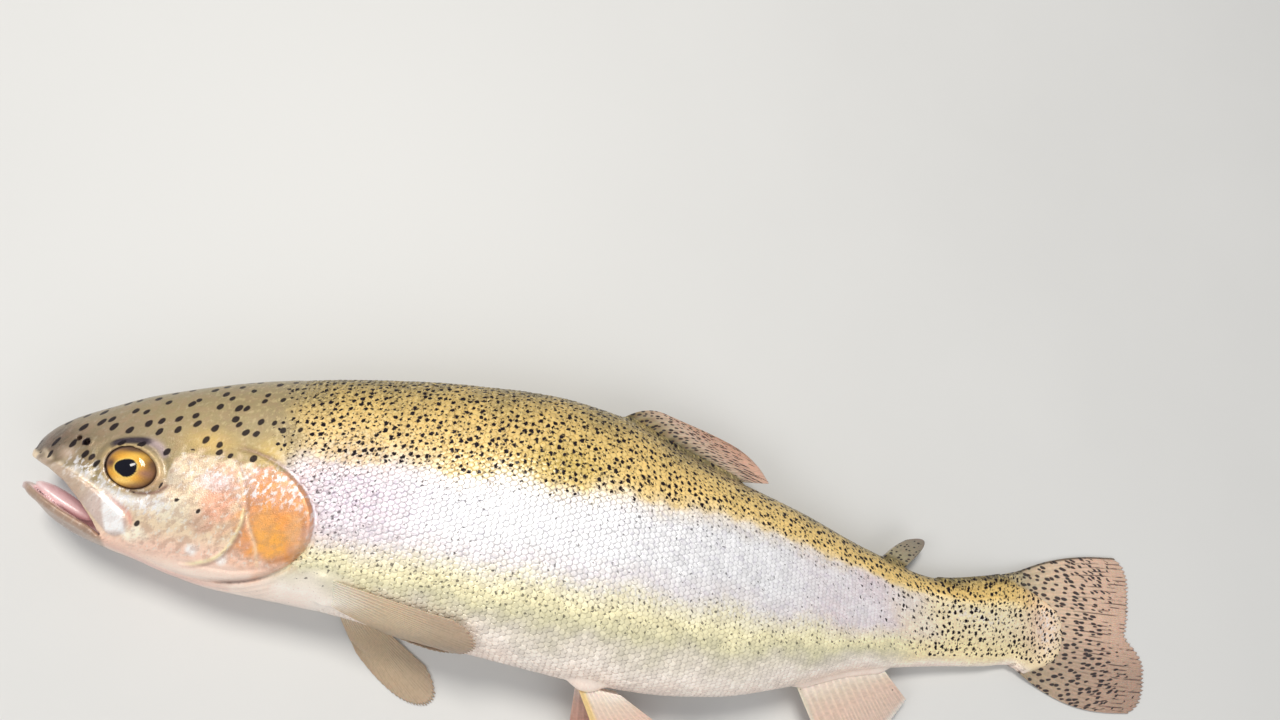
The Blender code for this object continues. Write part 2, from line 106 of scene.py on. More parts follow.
def smooth_table(keys, values, at):
    """Values read from a table by cubic curves that never overshoot it."""
    keys = np.asarray(keys, float)
    values = np.asarray(values, float)
    at = np.clip(np.asarray(at, float), keys[0], keys[-1])
    steps = np.diff(keys)
    slopes = np.diff(values, axis=0) / (steps[:, None] if values.ndim > 1 else steps)
    tangents = np.zeros_like(values)
    tangents[0], tangents[-1] = slopes[0], slopes[-1]
    before, after = slopes[:-1], slopes[1:]
    same_way = before * after > 0
    mean = 2 * before * after / np.where(same_way, before + after, 1.0)
    tangents[1:-1] = np.where(same_way, mean, 0.0)
    i = np.clip(np.searchsorted(keys, at, side="right") - 1, 0, len(steps) - 1)
    h = steps[i]
    t = (at - keys[i]) / h
    if values.ndim > 1:
        t, h = t[..., None], h[..., None]
    return (
        (1 + 2 * t) * (1 - t) ** 2 * values[i]
        + t * (1 - t) ** 2 * h * tangents[i]
        + t * t * (3 - 2 * t) * values[i + 1]
        + t * t * (t - 1) * h * tangents[i + 1]
    )


STATION_ROWS = np.array(BODY_STATIONS)


def section_at(x):
    """Back, belly, height of the widest point and half width at x, as the last axis."""
    return smooth_table(STATION_ROWS[:, 0], STATION_ROWS[:, 1:], x)


def back_at(x):
    return section_at(x)[..., 0]


def belly_at(x):
    return section_at(x)[..., 1]


def half_width_at(x):
    return section_at(x)[..., 3]


def along_line(line, x):
    return np.interp(x, *np.array(line, float).T)


def ramp(low, high, value):
    """Goes smoothly from 0 to 1 as the value goes from low to high."""
    t = np.clip((value - low) / (high - low), 0, 1)
    return t * t * (3 - 2 * t)


def fall(low, high, value):
    """Goes smoothly from 1 to 0 as the value goes from low to high."""
    return 1 - ramp(low, high, value)


def hill(distance, width=1.0):
    return np.exp(-((distance / width) ** 2))


def soft_patch(x, y, place, reach):
    """1 at the place, fading over the reach along and up."""
    return hill(np.hypot((x - place[0]) / reach[0], (y - place[1]) / reach[1]))


def body_reach(section, y):
    """From the widest point's height to the back, or to the belly where y is under it."""
    back, belly, level, _ = section
    return np.where(y > level, back - level, level - belly)


def body_height(x, y):
    """The plain body's height over the midplane."""
    section = section_at(x).T
    share = np.clip(np.abs((y - section[2]) / body_reach(section, y)), 0, 1)
    return section[3] * (1 - share**ROUNDNESS) ** (1 / ROUNDNESS)


def lift_at(x):
    """Height of the midplane above the floor."""
    x = np.asarray(x, float)
    resting = GILL_LINE + 6
    at = np.clip(x, resting, TAIL_BASE)
    flank = half_width_at(at)
    lift = flank - SINK * np.minimum(1.0, flank / 20)
    lift = lift - HEAD_TILT * np.maximum(resting - x, 0)
    fade = ramp(0, 14, x - TAIL_BASE)
    start = float(half_width_at(TAIL_BASE)) * 0.96
    return np.where(x < TAIL_BASE, lift, start + (FIN_EDGE - start) * fade)


EYE_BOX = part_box("eye_left")
EYE_MIDDLE = (EYE_BOX[0] + EYE_BOX[1]) / 2
SHIFT = np.array((EYE_MIDDLE.x - EYE_CENTRE[0] * MM, EYE_MIDDLE.y - EYE_CENTRE[1] * MM, 0.0))


def placed(points, floor=0.02):
    """Points of the straight fish, in mm, where they lie in the frame, in metres."""
    points = np.array(points, float)
    points[:, 2] = np.maximum(points[:, 2] + lift_at(points[:, 0]), floor)
    return points * MM + SHIFT


# ---------------------------------------------------------------- the flank as a map


class FlankMap:
    """The body's surface by x and q, the share of the half girth from belly (0) to back (1)."""

    def __init__(self, x_step=1.0, shares=241):
        self.xs = np.arange(STATION_ROWS[0, 0], FLESH_END + x_step, x_step)
        self.shares = np.linspace(0, 1, shares)
        rows = section_at(self.xs)
        turn = np.linspace(-math.pi / 2, math.pi / 2, 721)
        power = 2 / ROUNDNESS
        share = np.abs(np.sin(turn)) ** power
        out = np.abs(np.cos(turn)) ** power
        self.at_turn = np.zeros((len(self.xs), len(turn)))
        self.y = np.zeros((len(self.xs), shares))
        self.z = np.zeros((len(self.xs), shares))
        self.girth = np.zeros(len(self.xs))
        for i, (back, belly, level, half_width) in enumerate(rows):
            y = level + np.where(turn > 0, back - level, belly - level) * share
            z = half_width * out
            arc = np.concatenate([[0], np.cumsum(np.hypot(np.diff(y), np.diff(z)))])
            self.girth[i] = arc[-1]
            self.at_turn[i] = arc / arc[-1]
            self.y[i] = np.interp(self.shares * arc[-1], arc, y)
            self.z[i] = np.interp(self.shares * arc[-1], arc, z)

    def read(self, table, x, q):
        i = np.clip((x - self.xs[0]) / (self.xs[1] - self.xs[0]), 0, len(self.xs) - 1.001)
        j = np.clip(q * (table.shape[1] - 1), 0, table.shape[1] - 1.001)
        i0, j0 = i.astype(int), j.astype(int)
        a, b = i - i0, j - j0
        return (
            table[i0, j0] * (1 - a) * (1 - b)
            + table[i0 + 1, j0] * a * (1 - b)
            + table[i0, j0 + 1] * (1 - a) * b
            + table[i0 + 1, j0 + 1] * a * b
        )

    def girth_at(self, x):
        return np.interp(x, self.xs, self.girth)

    def point(self, x, q, side, out=0.0):
        """Points at x and share q on a side (1 left, -1 right), raised by out along the normal."""
        over, under = q > 1, q < 0
        side = np.where(over | under, -side, side)
        q = np.where(over, 2 - q, np.where(under, -q, q))
        step_x, step_q = 0.8, 0.006

        def at(x, q):
            flip = np.where((q > 1) | (q < 0), -1.0, 1.0)
            q = np.where(q > 1, 2 - q, np.abs(q))
            y, z = self.read(self.y, x, q), self.read(self.z, x, q) * flip
            return np.stack([x, y, z], -1)

        here = at(x, q)
        along = at(x + step_x, q) - at(x - step_x, q)
        around = at(x, q + step_q) - at(x, q - step_q)
        normal = np.cross(around, along)
        normal /= np.linalg.norm(normal, axis=-1, keepdims=True) + TINY
        outward = np.sum(normal * (here - np.array((0, -3.0, 0))), -1, keepdims=True)
        normal *= np.sign(outward + TINY)
        made = here + normal * np.asarray(out)[..., None]
        made[..., 2] *= side
        return made

    def share_of(self, x, y, z):
        """The share q of points that are near the surface."""
        section = np.moveaxis(section_at(x), -1, 0)
        level, half_width = section[2:]
        rise = np.abs((y - level) / body_reach(section, y)) ** (ROUNDNESS / 2)
        out = np.abs(z / np.maximum(half_width, 0.2)) ** (ROUNDNESS / 2)
        turn = np.arctan2(rise * np.sign(y - level), out)
        return self.read(self.at_turn, x, turn / math.pi + 0.5)


flank = FlankMap()

# ---------------------------------------------------------------- lines of the head, in (x, y)

MOUTH_UPPER = (
    (-6, -1.4), (-1.2, -1.6), (6.6, -4.3), (12.1, -7.2), (17.2, -11.6), (20.8, -15.8), (22.4, -18.4),
)
MOUTH_LOWER = (
    (-6, -7.6), (-1, -7.8), (2.2, -9.6), (6.1, -11.3), (12.7, -14.2), (19.3, -16.8), (22.4, -18.6),
)
MAXILLA_LINE = ((2.6, -2.0), (14.5, -6.9), (26.6, -15.2))
MAXILLA_WIDTHS = (1.6, 3.8, 6.4)
PREOPERCLE = (
    (51.0, 5.5), (54.4, 1.6), (57.0, -4.0), (58.1, -9.0), (57.0, -14.8), (53.6, -20.0), (47.0, -22.6),
    (38.0, -23.6),
)
COVER_SEAM = ((58.4, -8.0), (60.4, -12.3), (62.2, -15.5), (63.6, -20.4))
COVER_LOWER_SEAM = ((44.0, -22.2), (56.0, -22.6), (66.0, -20.6))
COVER_MIDDLE = (50.0, -10.2)
COVER_REACH = {"back": 25.0, "front": 24.0, "top": 17.6, "bottom": 15.2}
COVER_MEAN_REACH = 19.0
JAW_JOINT = (23.8, -19.6)
# Where the scales begin, as (y, x).
NAPE = ((-31, 77), (-26, 76), (-18, 70), (-5, 65), (9, 61.5), (20, 60.5), (34, 61))
TAIL_SHOULDER = ((283.0, 13.0), (290.8, 10.2), (296.6, 9.0), (302.8, 7.9))
NOSTRILS = ((12.0, 4.3, 0.6), (14.4, 3.5, 0.75))  # x, y and radius


def curve(points, samples=48):
    """A smooth curve through a few points, as many small steps."""
    points = np.array(points, float)
    lengths = np.concatenate([[0], np.cumsum(np.linalg.norm(np.diff(points, axis=0), axis=1))])
    at = np.linspace(0, lengths[-1], samples)
    return smooth_table(lengths, points, at), at / lengths[-1]


def nearest(x, y, line):
    """Distance from the line, which side of it (1 is left of its way) and the share along it."""
    points, shares = curve(line)
    best = np.full(np.broadcast(x, y).shape, 1e9, np.float32)
    side = np.ones_like(best)
    along = np.zeros_like(best)
    for (x0, y0), (x1, y1), share in zip(points[:-1], points[1:], shares[:-1], strict=True):
        dx, dy = x1 - x0, y1 - y0
        t = np.clip(((x - x0) * dx + (y - y0) * dy) / (dx * dx + dy * dy), 0, 1)
        distance = np.hypot(x - x0 - t * dx, y - y0 - t * dy)
        closer = distance < best
        best = np.where(closer, distance, best)
        side = np.where(closer, np.sign(dx * (y - y0) - dy * (x - x0)), side)
        along = np.where(closer, share, along)
    return best, side, along


def cover_share(x, y):
    """1 on the gill cover's edge, less inside it and more outside."""
    along = np.where(x > COVER_MIDDLE[0], COVER_REACH["back"], COVER_REACH["front"])
    high = np.where(y > COVER_MIDDLE[1], COVER_REACH["top"], COVER_REACH["bottom"])
    return np.hypot((x - COVER_MIDDLE[0]) / along, (y - COVER_MIDDLE[1]) / high)


def cover_edge(x, y):
    """About how far outside the gill cover's edge a point lies, in mm."""
    return (cover_share(x, y) - 1) * COVER_MEAN_REACH


def tail_arc(y):
    """How far back the flesh reaches over the tail fin's root, as a blunt arc."""
    return np.maximum(FLESH_END - 13 * np.abs((y + 4.4) / 13) ** 3, TAIL_BASE + 2.5)


def shoulder_share(x, y):
    """1 on the stalk's upper rear corner, which looks like the tail fin."""
    over = y - along_line(TAIL_SHOULDER, x) + 0.5 * wobble(x, y, 1.3, 4.0)
    return ramp(-0.6, 0.9, over) * ramp(281, 286, x)


def coat_share(x, y):
    """0 on the bare head, 1 where the scales are."""
    nape = along_line(NAPE, y)
    behind = ramp(-2.0, 4.0, x - nape) * ramp(1.03, 1.10, cover_share(x, y))
    behind = behind * fall(-7, -1.5, x - tail_arc(y)) * (1 - shoulder_share(x, y))
    return behind * (1 - soft_patch(x, y, (80, -24), (7, 4.5)))


def eye_axes(x, y):
    """Place along and across the eye's long axis."""
    x, y = x - EYE_CENTRE[0], y - EYE_CENTRE[1]
    along = x * math.cos(EYE_LEAN) + y * math.sin(EYE_LEAN)
    return along, y * math.cos(EYE_LEAN) - x * math.sin(EYE_LEAN)


def eye_oval(along, across, radii):
    """Distance from the eye's middle, as for a round eye of the longer radius."""
    flatter = np.where(across > 0, 1.17, 1.05)
    return np.hypot(along, across * flatter * radii[0] / radii[1])


def eye_distance(x, y):
    return eye_oval(*eye_axes(x, y), EYE_RADII)


def maxilla_distance(x, y):
    """Signed distance to the upper jaw's strap, negative inside."""
    distance, _, along = nearest(x, y, MAXILLA_LINE)
    return distance - np.interp(along, (0, 0.5, 1), MAXILLA_WIDTHS) / 2


THROAT_FOLDS = 5
FOLD_STEP = 1.25  # from one throat fold to the next, in mm


def head_relief(x, y):
    """How far the head's bones and folds stand out of its smooth shape, in mm, seen from the side."""
    relief = np.zeros(np.broadcast(x, y).shape, np.float32)
    add_cover_relief(relief, x, y)
    add_jaw_relief(relief, x, y)
    add_eye_relief(relief, x, y)
    for hole_x, hole_y, radius in NOSTRILS:
        distance = np.hypot(x - hole_x, y - hole_y)
        hole = fall(radius * 0.6, radius * 1.15, distance)
        relief += 0.3 * hill(distance - radius - 0.4, 0.4) - 1.9 * hole
    throat = ramp(-21.5, -23.5, y) * ramp(30, 40, x) * fall(66, 72, x)
    for i in range(THROAT_FOLDS):
        relief -= 0.28 * hill(cover_edge(x, y) - 1.9 - FOLD_STEP * i, 0.4) * throat
    return relief


def add_cover_relief(relief, x, y):
    """The gill cover's raised edge, the groove behind it, and the ridges and seams of its plates."""
    edge = cover_edge(x, y)
    behind = ramp(44, 56, x)
    low = 1 - 0.65 * ramp(-2, 5, y)
    relief += 0.5 * low * behind * fall(-0.5, 0.25, edge) * ramp(-14, -1, edge)
    relief += 0.18 * low * behind * fall(-0.2, 0.2, edge)
    relief -= 0.75 * low * behind * hill(edge - 0.8, 0.55)
    relief -= 0.35 * ramp(30, 44, x) * hill(edge - 0.6, 0.6) * (y < -12)
    distance, side, along = nearest(x, y, PREOPERCLE)
    signed = distance * side
    ends = (0.25 + 0.75 * ramp(0.2, 0.4, along)) * ramp(0, 0.1, along)
    ends = ends * fall(0.6, 0.85, along)
    relief += ends * (0.16 * hill(signed + 0.4, 0.5) - 0.28 * hill(signed - 0.5, 0.4))
    relief += 0.22 * ends * fall(-0.3, 0.3, signed) * ramp(-7, -0.5, signed)
    relief -= 0.4 * hill(nearest(x, y, COVER_SEAM)[0], 0.45)
    relief -= 0.35 * hill(nearest(x, y, COVER_LOWER_SEAM)[0], 0.45)


def add_jaw_relief(relief, x, y):
    """The upper jaw's strap, the lower lip, the jaw joint and the cheek."""
    strap = maxilla_distance(x, y)
    relief += 0.42 * fall(-1.0, 0.3, strap) - 0.28 * hill(strap - 0.6, 0.6)
    distance, side, _ = nearest(x, y, MOUTH_LOWER)
    relief += 0.5 * hill(distance - 1.3, 1.1) * (side < 0)
    relief += 0.4 * hill(np.hypot(x - JAW_JOINT[0], y - JAW_JOINT[1]), 1.8)
    relief += 0.45 * soft_patch(x, y, (43, -9), (7, 6))


def add_eye_relief(relief, x, y):
    """The eye's rim, the groove around it, the brow, and fine rays in the skin below."""
    around = eye_distance(x, y)
    relief += 0.4 * hill(around - 7.2) - 0.3 * hill(around - 9.6)
    relief += 0.35 * hill(around - 8.4, 1.2) * ramp(2, 6, y - EYE_CENTRE[1])
    turn = np.arctan2(y - EYE_CENTRE[1], x - EYE_CENTRE[0])
    rays = np.cos(turn * 11) * ramp(9.5, 11.5, around) * fall(14, 17.5, around)
    relief += 0.10 * rays * ((turn < -0.4) | (np.abs(turn) < 0.5))


def smooth_min(a, b, blend):
    h = np.clip(0.5 + 0.5 * (b - a) / blend, 0, 1)
    return b + (a - b) * h - blend * h * (1 - h)


def smooth_max(a, b, blend):
    return -smooth_min(-a, -b, blend)


# ---------------------------------------------------------------- the skin as one field

FINE = 0.42  # the grid's step in mm
COARSE = 1.1  # the widest step along the trunk
HEAD_END = 84.0  # where the head's relief has faded out


def grid_lines():
    """The grid's places along x, y and z. Along x they are fine over the head, then wider."""
    fine = np.arange(-4.0, HEAD_END - 2, FINE)
    coarse = [fine[-1]]
    while coarse[-1] < FLESH_END + 3:
        coarse.append(coarse[-1] + min(COARSE, FINE + (coarse[-1] - HEAD_END + 2) * 0.05 + 0.02))
    xs = np.concatenate([fine, coarse[1:]])
    return xs, np.arange(-44.0, 44.0, FINE), np.arange(0.0, 24.5, FINE)


def skin_field(xs, ys, zs):
    """Negative inside the fish, roughly the distance from its skin in mm, on the left half."""
    x = xs[:, None, None].astype(np.float32)
    y = ys[None, :, None].astype(np.float32)
    z = zs[None, None, :].astype(np.float32)
    section = [v[:, None, None].astype(np.float32) for v in section_at(xs).T]
    back, belly, level, half_width = section
    rise = np.abs(y - level) / body_reach(section, y)
    ratio = (rise**ROUNDNESS + (z / half_width) ** ROUNDNESS) ** (1 / ROUNDNESS)
    slopes = np.gradient(ratio, xs, ys, zs)
    steep = np.sqrt(sum(s * s for s in slopes))
    field = (ratio - 1) / np.maximum(steep, 0.012)
    field = smooth_max(field, -1.1 - x, 1.0)
    field = smooth_max(field, (x + 3 * z - 1.2 - tail_arc(y)) / 3.2, 0.4)
    plane_x, plane_y = x[:, :, 0], y[:, :, 0]
    field += COAT_DEPTH * coat_share(plane_x, plane_y)[:, :, None].astype(np.float32)
    head = xs < HEAD_END
    relief = np.zeros((len(xs), len(ys)), np.float32)
    relief[head] = head_relief(plane_x[head], plane_y)
    field -= relief[:, :, None] * ramp(1.5, 6.0, z)
    field[head] = head_hollows(field[head], x[head], y, z, half_width[head])
    return add_fin_roots(field, x, y, z, back, belly)


def ellipsoid(places, radii):
    """1 on an ellipsoid, less inside it, for places counted from its middle."""
    return np.sqrt(sum((place / radius) ** 2 for place, radius in zip(places, radii, strict=True)))


def head_hollows(field, x, y, z, half_width):
    """Adds the lips, cuts the mouth, adds the tongue and cuts the orbit."""
    upper, lower = (along_line(line, x).astype(np.float32) for line in (MOUTH_UPPER, MOUTH_LOWER))
    beside = z - half_width * 0.86
    beside = np.maximum(beside, 0) + np.minimum(beside, 0) * 0.02
    for line, way in ((upper, 1), (lower, -1)):
        lip = np.maximum(np.hypot(y - line - way, beside) - 1.15, x - 19)
        field = smooth_min(field, np.maximum(lip, field - 0.35), 0.6)
    field = smooth_max(field, -mouth_hollow(x, y, z, upper, lower, half_width), 0.7)
    field = smooth_min(field, tongue_field(x, y, z), 0.5)
    return smooth_max(field, -orbit_hollow(x, y, z), 0.35)


def mouth_hollow(x, y, z, upper, lower, half_width):
    """Negative in the gape and in the vault behind it, as far back as the mouth's corner."""
    gape = np.maximum(np.maximum(y - upper, lower - y), x - 22.4)
    middle = (upper + lower) / 2
    half = (upper - lower) / 2 + 1.9 * ramp(0.5, 4.5, x) * fall(17, 23, x)
    vault = np.hypot((y - middle) / np.maximum(half, 0.3), z / (half_width * 0.62)) - 1
    vault = np.maximum(vault * np.minimum(half, 4.0), np.maximum(x - 23, 1.6 - x))
    return smooth_min(gape, vault, 0.7)


def tongue_field(x, y, z):
    lean = math.radians(-25)
    x, y = x - 9.2, y + 11.6
    along = x * math.cos(lean) + y * math.sin(lean)
    up = y * math.cos(lean) - x * math.sin(lean)
    return (ellipsoid((along, up, z), (8.8, 2.0, 4.8)) - 1) * 2.0


def orbit_hollow(x, y, z):
    """Negative where the eyeball sits and in the lids' opening in front of it."""
    radii = [r + ORBIT_GAP for r in EYE_RADII]
    along, across = eye_axes(x, y)
    out = z - EYE_CENTRE[2]
    ball = (ellipsoid((along, across, out), radii) - 1) * radii[2]
    rim = eye_oval(along, across, radii) - 6.5 - 0.25 * np.maximum(out - 1.6, 0)
    return np.minimum(ball, np.maximum(rim, -out))


def add_fin_roots(field, x, y, z, back, belly):
    """Low fleshy ridges that the fins grow out of."""
    dorsal = (151.0, 193.0, back, 0.1, 1.5)
    anal = (215.5, 248.0, belly, -0.1, 1.3)
    adipose = (241.5, 252.0, back, -0.3, 1.5)
    for start, end, edge, over, thick in (dorsal, anal, adipose):
        near = ramp(start, start + 4, x) * fall(end - 4, end, x)
        ridge = np.where(near > 0, np.hypot(y - edge - over, z) - thick * near, 9.0)
        field = smooth_min(field, ridge.astype(np.float32), 1.6)
    pelvic = ellipsoid((x - 153.0, y + 37.6, z - 3.8), (1.9, 1.1, 1.0)) - 2.2
    field = smooth_min(field, pelvic.astype(np.float32), 2.0)
    top, low = (np.array((px, py, body_height(px, py) - 0.5)) for px, py in ((80.0, -20.9), (81.6, -26.4)))
    length = np.linalg.norm(low - top)
    axis = (low - top) / length
    off = (x - top[0], y - top[1], z - top[2])
    along = np.clip(off[0] * axis[0] + off[1] * axis[1] + off[2] * axis[2], 0, length)
    off = [c - along * a for c, a in zip(off, axis, strict=True)]
    pectoral = ellipsoid(off, (1.7, 1.0, 1.0)) - 1.15
    return smooth_min(field, pectoral.astype(np.float32), 1.8)


CELL_CORNERS = tuple(itertools.product((0, 1), repeat=3))


def surface_of(field, lines):
    """The zero surface of a field on a grid, as points and quads: one point in each crossed cell."""
    inside = field < 0
    shape = tuple(n - 1 for n in field.shape)
    count = np.zeros(shape, np.uint8)
    for i, j, k in CELL_CORNERS:
        count += inside[i : i + shape[0], j : j + shape[1], k : k + shape[2]]
    cells = np.argwhere((count > 0) & (count < 8))
    number = np.full(shape, -1, np.int32)
    number[tuple(cells.T)] = np.arange(len(cells))
    return cell_points(field, cells, lines), cell_quads(inside, number)


def cell_points(field, cells, lines):
    """In each cell the mean of the places where the field is zero on the cell's edges."""
    values = np.stack([field[tuple((cells + corner).T)] for corner in CELL_CORNERS], 1)
    total = np.zeros((len(cells), 3))
    hits = np.zeros(len(cells))
    for a, b in itertools.combinations(range(len(CELL_CORNERS)), 2):
        first, second = np.array(CELL_CORNERS[a]), np.array(CELL_CORNERS[b])
        if np.abs(first - second).sum() > 1:
            continue
        before, after = values[:, a], values[:, b]
        crossed = (before < 0) != (after < 0)
        t = np.where(crossed, before / np.where(crossed, before - after, 1), 0)
        total += np.where(crossed[:, None], first + t[:, None] * (second - first), 0)
        hits += crossed
    share = total / hits[:, None]
    low, high = ([line[i] for line, i in zip(lines, (cells + step).T, strict=True)] for step in (0, 1))
    low, high = np.stack(low, 1), np.stack(high, 1)
    return low + share * (high - low)


def cell_quads(inside, number):
    """A quad through the four cells around each grid edge that crosses the surface."""
    quads = []
    for axis in range(3):
        cut = [slice(1, -1)] * 3
        cut[axis] = slice(0, -1)
        crossed = np.zeros_like(inside)
        crossed[tuple(cut)] = (inside != np.roll(inside, -1, axis))[tuple(cut)]
        at = np.argwhere(crossed)
        ring = []
        for step in ((0, 0), (1, 0), (1, 1), (0, 1)):
            cell = at.copy()
            cell[:, [(axis + 1) % 3, (axis + 2) % 3]] -= step
            ring.append(number[tuple(cell.T)])
        ring = np.stack(ring, 1)
        turned = ~inside[tuple(at.T)]
        ring[turned] = ring[turned][:, ::-1]
        quads.append(ring)
    return np.concatenate(quads)


def linked(name, data):
    """A new object in the scene."""
    made = bpy.data.objects.new(name, data)
    bpy.context.scene.collection.objects.link(made)
    return made


def mesh_object(name, points, faces, attributes):
    """A mesh object from arrays: points in metres, faces as rows of equal length."""
    mesh = bpy.data.meshes.new(name)
    faces = np.asarray(faces, np.int32)
    mesh.vertices.add(len(points))
    mesh.vertices.foreach_set("co", np.asarray(points, np.float32).ravel())
    mesh.loops.add(faces.size)
    mesh.loops.foreach_set("vertex_index", faces.ravel())
    mesh.polygons.add(len(faces))
    mesh.polygons.foreach_set("loop_start", np.arange(len(faces), dtype=np.int32) * faces.shape[1])
    mesh.update(calc_edges=True)
    mesh.validate()
    mesh.shade_smooth()
    for key, values in attributes.items():
        kind, field = ("FLOAT_VECTOR", "vector") if np.ndim(values) == 2 else ("FLOAT", "value")
        layer = mesh.attributes.new(key, kind, "POINT")
        layer.data.foreach_set(field, np.asarray(values, np.float32).ravel())
    return linked(name, mesh)


# ---------------------------------------------------------------- colours, by place on the fish

BAND_TOP = (
    (60, 7.5), (67, 8.5), (100, 11.0), (137, 12.8), (191, 12.6), (225, 6.5), (262, 0.5), (305, 3.0),
)
BAND_BOTTOM = ((60, -14), (142, -15.5), (196, -16.3), (225, -14.5), (262, -13.0), (305, -9.0))
CROWN_LINE = (
    (-2, 0.5), (5, -1.4), (9, -2.6), (12.5, -2.4), (18.7, -5.2), (26, -6.8), (32, -7.0), (36, -5.2),
    (37.5, 2.5), (39, 4.8), (51, 5.0), (60, 4.0), (66, 3.2), (68.5, 4.5), (72, 8.5),
)
# Trunk colours by zone: -2 at the belly, -1 and 1 at the band's edges, 2 at the back.
ZONE_COLOURS = (
    (-2.0, (0.93, 0.76, 0.66)),
    (-1.75, (0.94, 0.84, 0.75)),
    # The two greyer stops at -1.5 and -1.3 are partly painted shade, where the flank turns down toward the
    # belly.
    (-1.5, (0.71, 0.65, 0.52)),
    (-1.3, (0.73, 0.68, 0.45)),
    (-1.1, (0.97, 0.88, 0.56)),
    (-0.85, (0.96, 0.88, 0.66)),
    (-0.55, (0.90, 0.84, 0.84)),
    (-0.2, (0.94, 0.93, 0.95)),
    (0.6, (0.94, 0.93, 0.95)),
    (0.9, (0.88, 0.78, 0.66)),
    (1.0, (0.86, 0.65, 0.33)),
    (1.15, (0.82, 0.57, 0.21)),
    (1.6, (0.66, 0.455, 0.155)),
    (2.0, (0.17, 0.135, 0.055)),
)
CROWN = (0.33, 0.255, 0.125)
SNOUT = (0.118, 0.086, 0.062)
CHEEK = (0.78, 0.62, 0.43)
LOWER_CHEEK = (0.88, 0.60, 0.47)
AMBER = (0.84, 0.33, 0.06)
COVER_PINK = (0.62, 0.32, 0.22)
STRAP_TAN = (0.52, 0.40, 0.30)
# The lower jaw's tan, made darker as painted shade.
JAW_TAN_AND_SHADE = (0.38, 0.26, 0.19)
THROAT = (0.92, 0.73, 0.62)
TONGUE_PINK = (0.97, 0.74, 0.75)
# Painted shade inside the mouth, under its roof.
MOUTH_SHADE = (0.42, 0.17, 0.20)
# Painted shade, nearly black: under the brow's fold and in the nostril holes.
FOLD_AND_HOLE_SHADE = (0.030, 0.018, 0.030)
BAND_PINK = (0.78, 0.56, 0.60)
STALK_GOLD = (0.97, 0.79, 0.45)
WEB_OLIVE = (0.47, 0.39, 0.25)
EDGE_OLIVE = (0.10, 0.08, 0.05)
# Soft patches on the crown and on the face: place, reach along and up, colour and strength.
NOSTRIL_PATCH = ((10.5, 0.2), (2.3, 1.6), (0.66, 0.50, 0.38), 0.75)
CROWN_PATCHES = (
    ((17, 9), (16, 9), (0.24, 0.185, 0.12), 0.7),
    ((2, 4), (7, 7), SNOUT, 0.9),
    ((45, 8.5), (7, 3.4), (0.62, 0.42, 0.13), 0.85),
    ((60.5, 8.6), (5, 4), (0.60, 0.42, 0.12), 0.8),
    NOSTRIL_PATCH,
)
FACE_PATCHES = (
    NOSTRIL_PATCH,
    ((37.5, -1.5), (3.4, 3.4), (0.66, 0.58, 0.46), 0.7),
    ((40, -9.5), (6.5, 4.5), (0.86, 0.78, 0.60), 0.7),
    ((51.0, -5.5), (5.6, 9.5), (0.84, 0.42, 0.28), 0.9),
    ((47.5, -12.5), (3.4, 3.6), (0.58, 0.36, 0.27), 0.6),
    ((49, -1.5), (6, 2.6), (0.90, 0.74, 0.74), 0.7),
    ((31.5, -17.2), (4.2, 2.6), (0.95, 0.88, 0.70), 0.85),
    # The next two near-white patches on the lower cheek are painted highlights.
    ((47, -18.8), (2.2, 1.5), (0.96, 0.93, 0.90), 0.9),
    ((54.5, -20.2), (1.9, 1.6), (0.96, 0.93, 0.90), 0.9),
    ((66.0, -9.5), (11.0, 14.0), AMBER, 0.85),
    ((66.5, -2.0), (5.0, 5.0), (0.80, 0.40, 0.22), 0.6),
    ((66.0, -14.0), (5.5, 5.0), (0.92, 0.46, 0.08), 0.6),
    ((62.8, -9.5), (3.0, 4.5), (0.84, 0.44, 0.14), 0.5),
    ((71.0, -9.5), (2.6, 5.0), (0.80, 0.46, 0.20), 0.5),
    ((61.5, 0.0), (3.2, 3.2), (0.76, 0.32, 0.09), 0.8),
    ((66.5, -20.5), (7, 2.0), (0.86, 0.62, 0.52), 0.6),
)
BROW_LINE = ((20.2, 2.9), (22.3, 4.8), (25.5, 5.7), (28.6, 6.1), (32.2, 5.4), (34.6, 3.4))
# A line of painted shadow under the eye.
LID_SHADOW_LINE = ((26.0, -5.9), (30.9, -7.2), (34.6, -6.6), (37.4, -4.6))
SILVER_LINE = ((13.5, -2.6), (18.9, -4.4), (24.0, -7.4), (30.0, -9.4), (37.0, -9.0))
AMBER_ARC = ((70.0, -5.0), (73.2, -8.5), (73.6, -13.0), (71.0, -17.0), (66.5, -19.0))
THROAT_LINE = ((24.0, -20.4), (30.2, -22.5), (38.4, -25.3), (47.9, -26.8), (56.0, -27.4))
MOUTH_ROOF = ((0, -6.2), (5, -7.4), (8, -8.0), (11, -9.4), (14, -11.3), (18, -13.6))


def zone_of(x, y):
    """Where a point lies across the fish: -2 belly, -1 to 1 the silver band, 2 back."""
    top, bottom = along_line(BAND_TOP, x), along_line(BAND_BOTTOM, x)
    back, belly = back_at(x), belly_at(x)
    inside = -1 + 2 * (y - bottom) / (top - bottom)
    above = 1 + (y - top) / (back - top)
    below = -1 - (bottom - y) / (bottom - belly)
    return np.clip(np.where(y > top, above, np.where(y < bottom, below, inside)), -2, 2)


def wobble(x, y, size, seed=0.0):
    """Smooth made-up noise between about -1 and 1."""
    a = np.sin(x / size * 2.1 + 1.7 * np.sin(y / size * 1.3 + seed) + seed)
    b = np.sin(y / size * 2.7 + 1.3 * np.sin(x / size * 1.9 - seed) + 2 * seed)
    return 0.5 * (a + b)


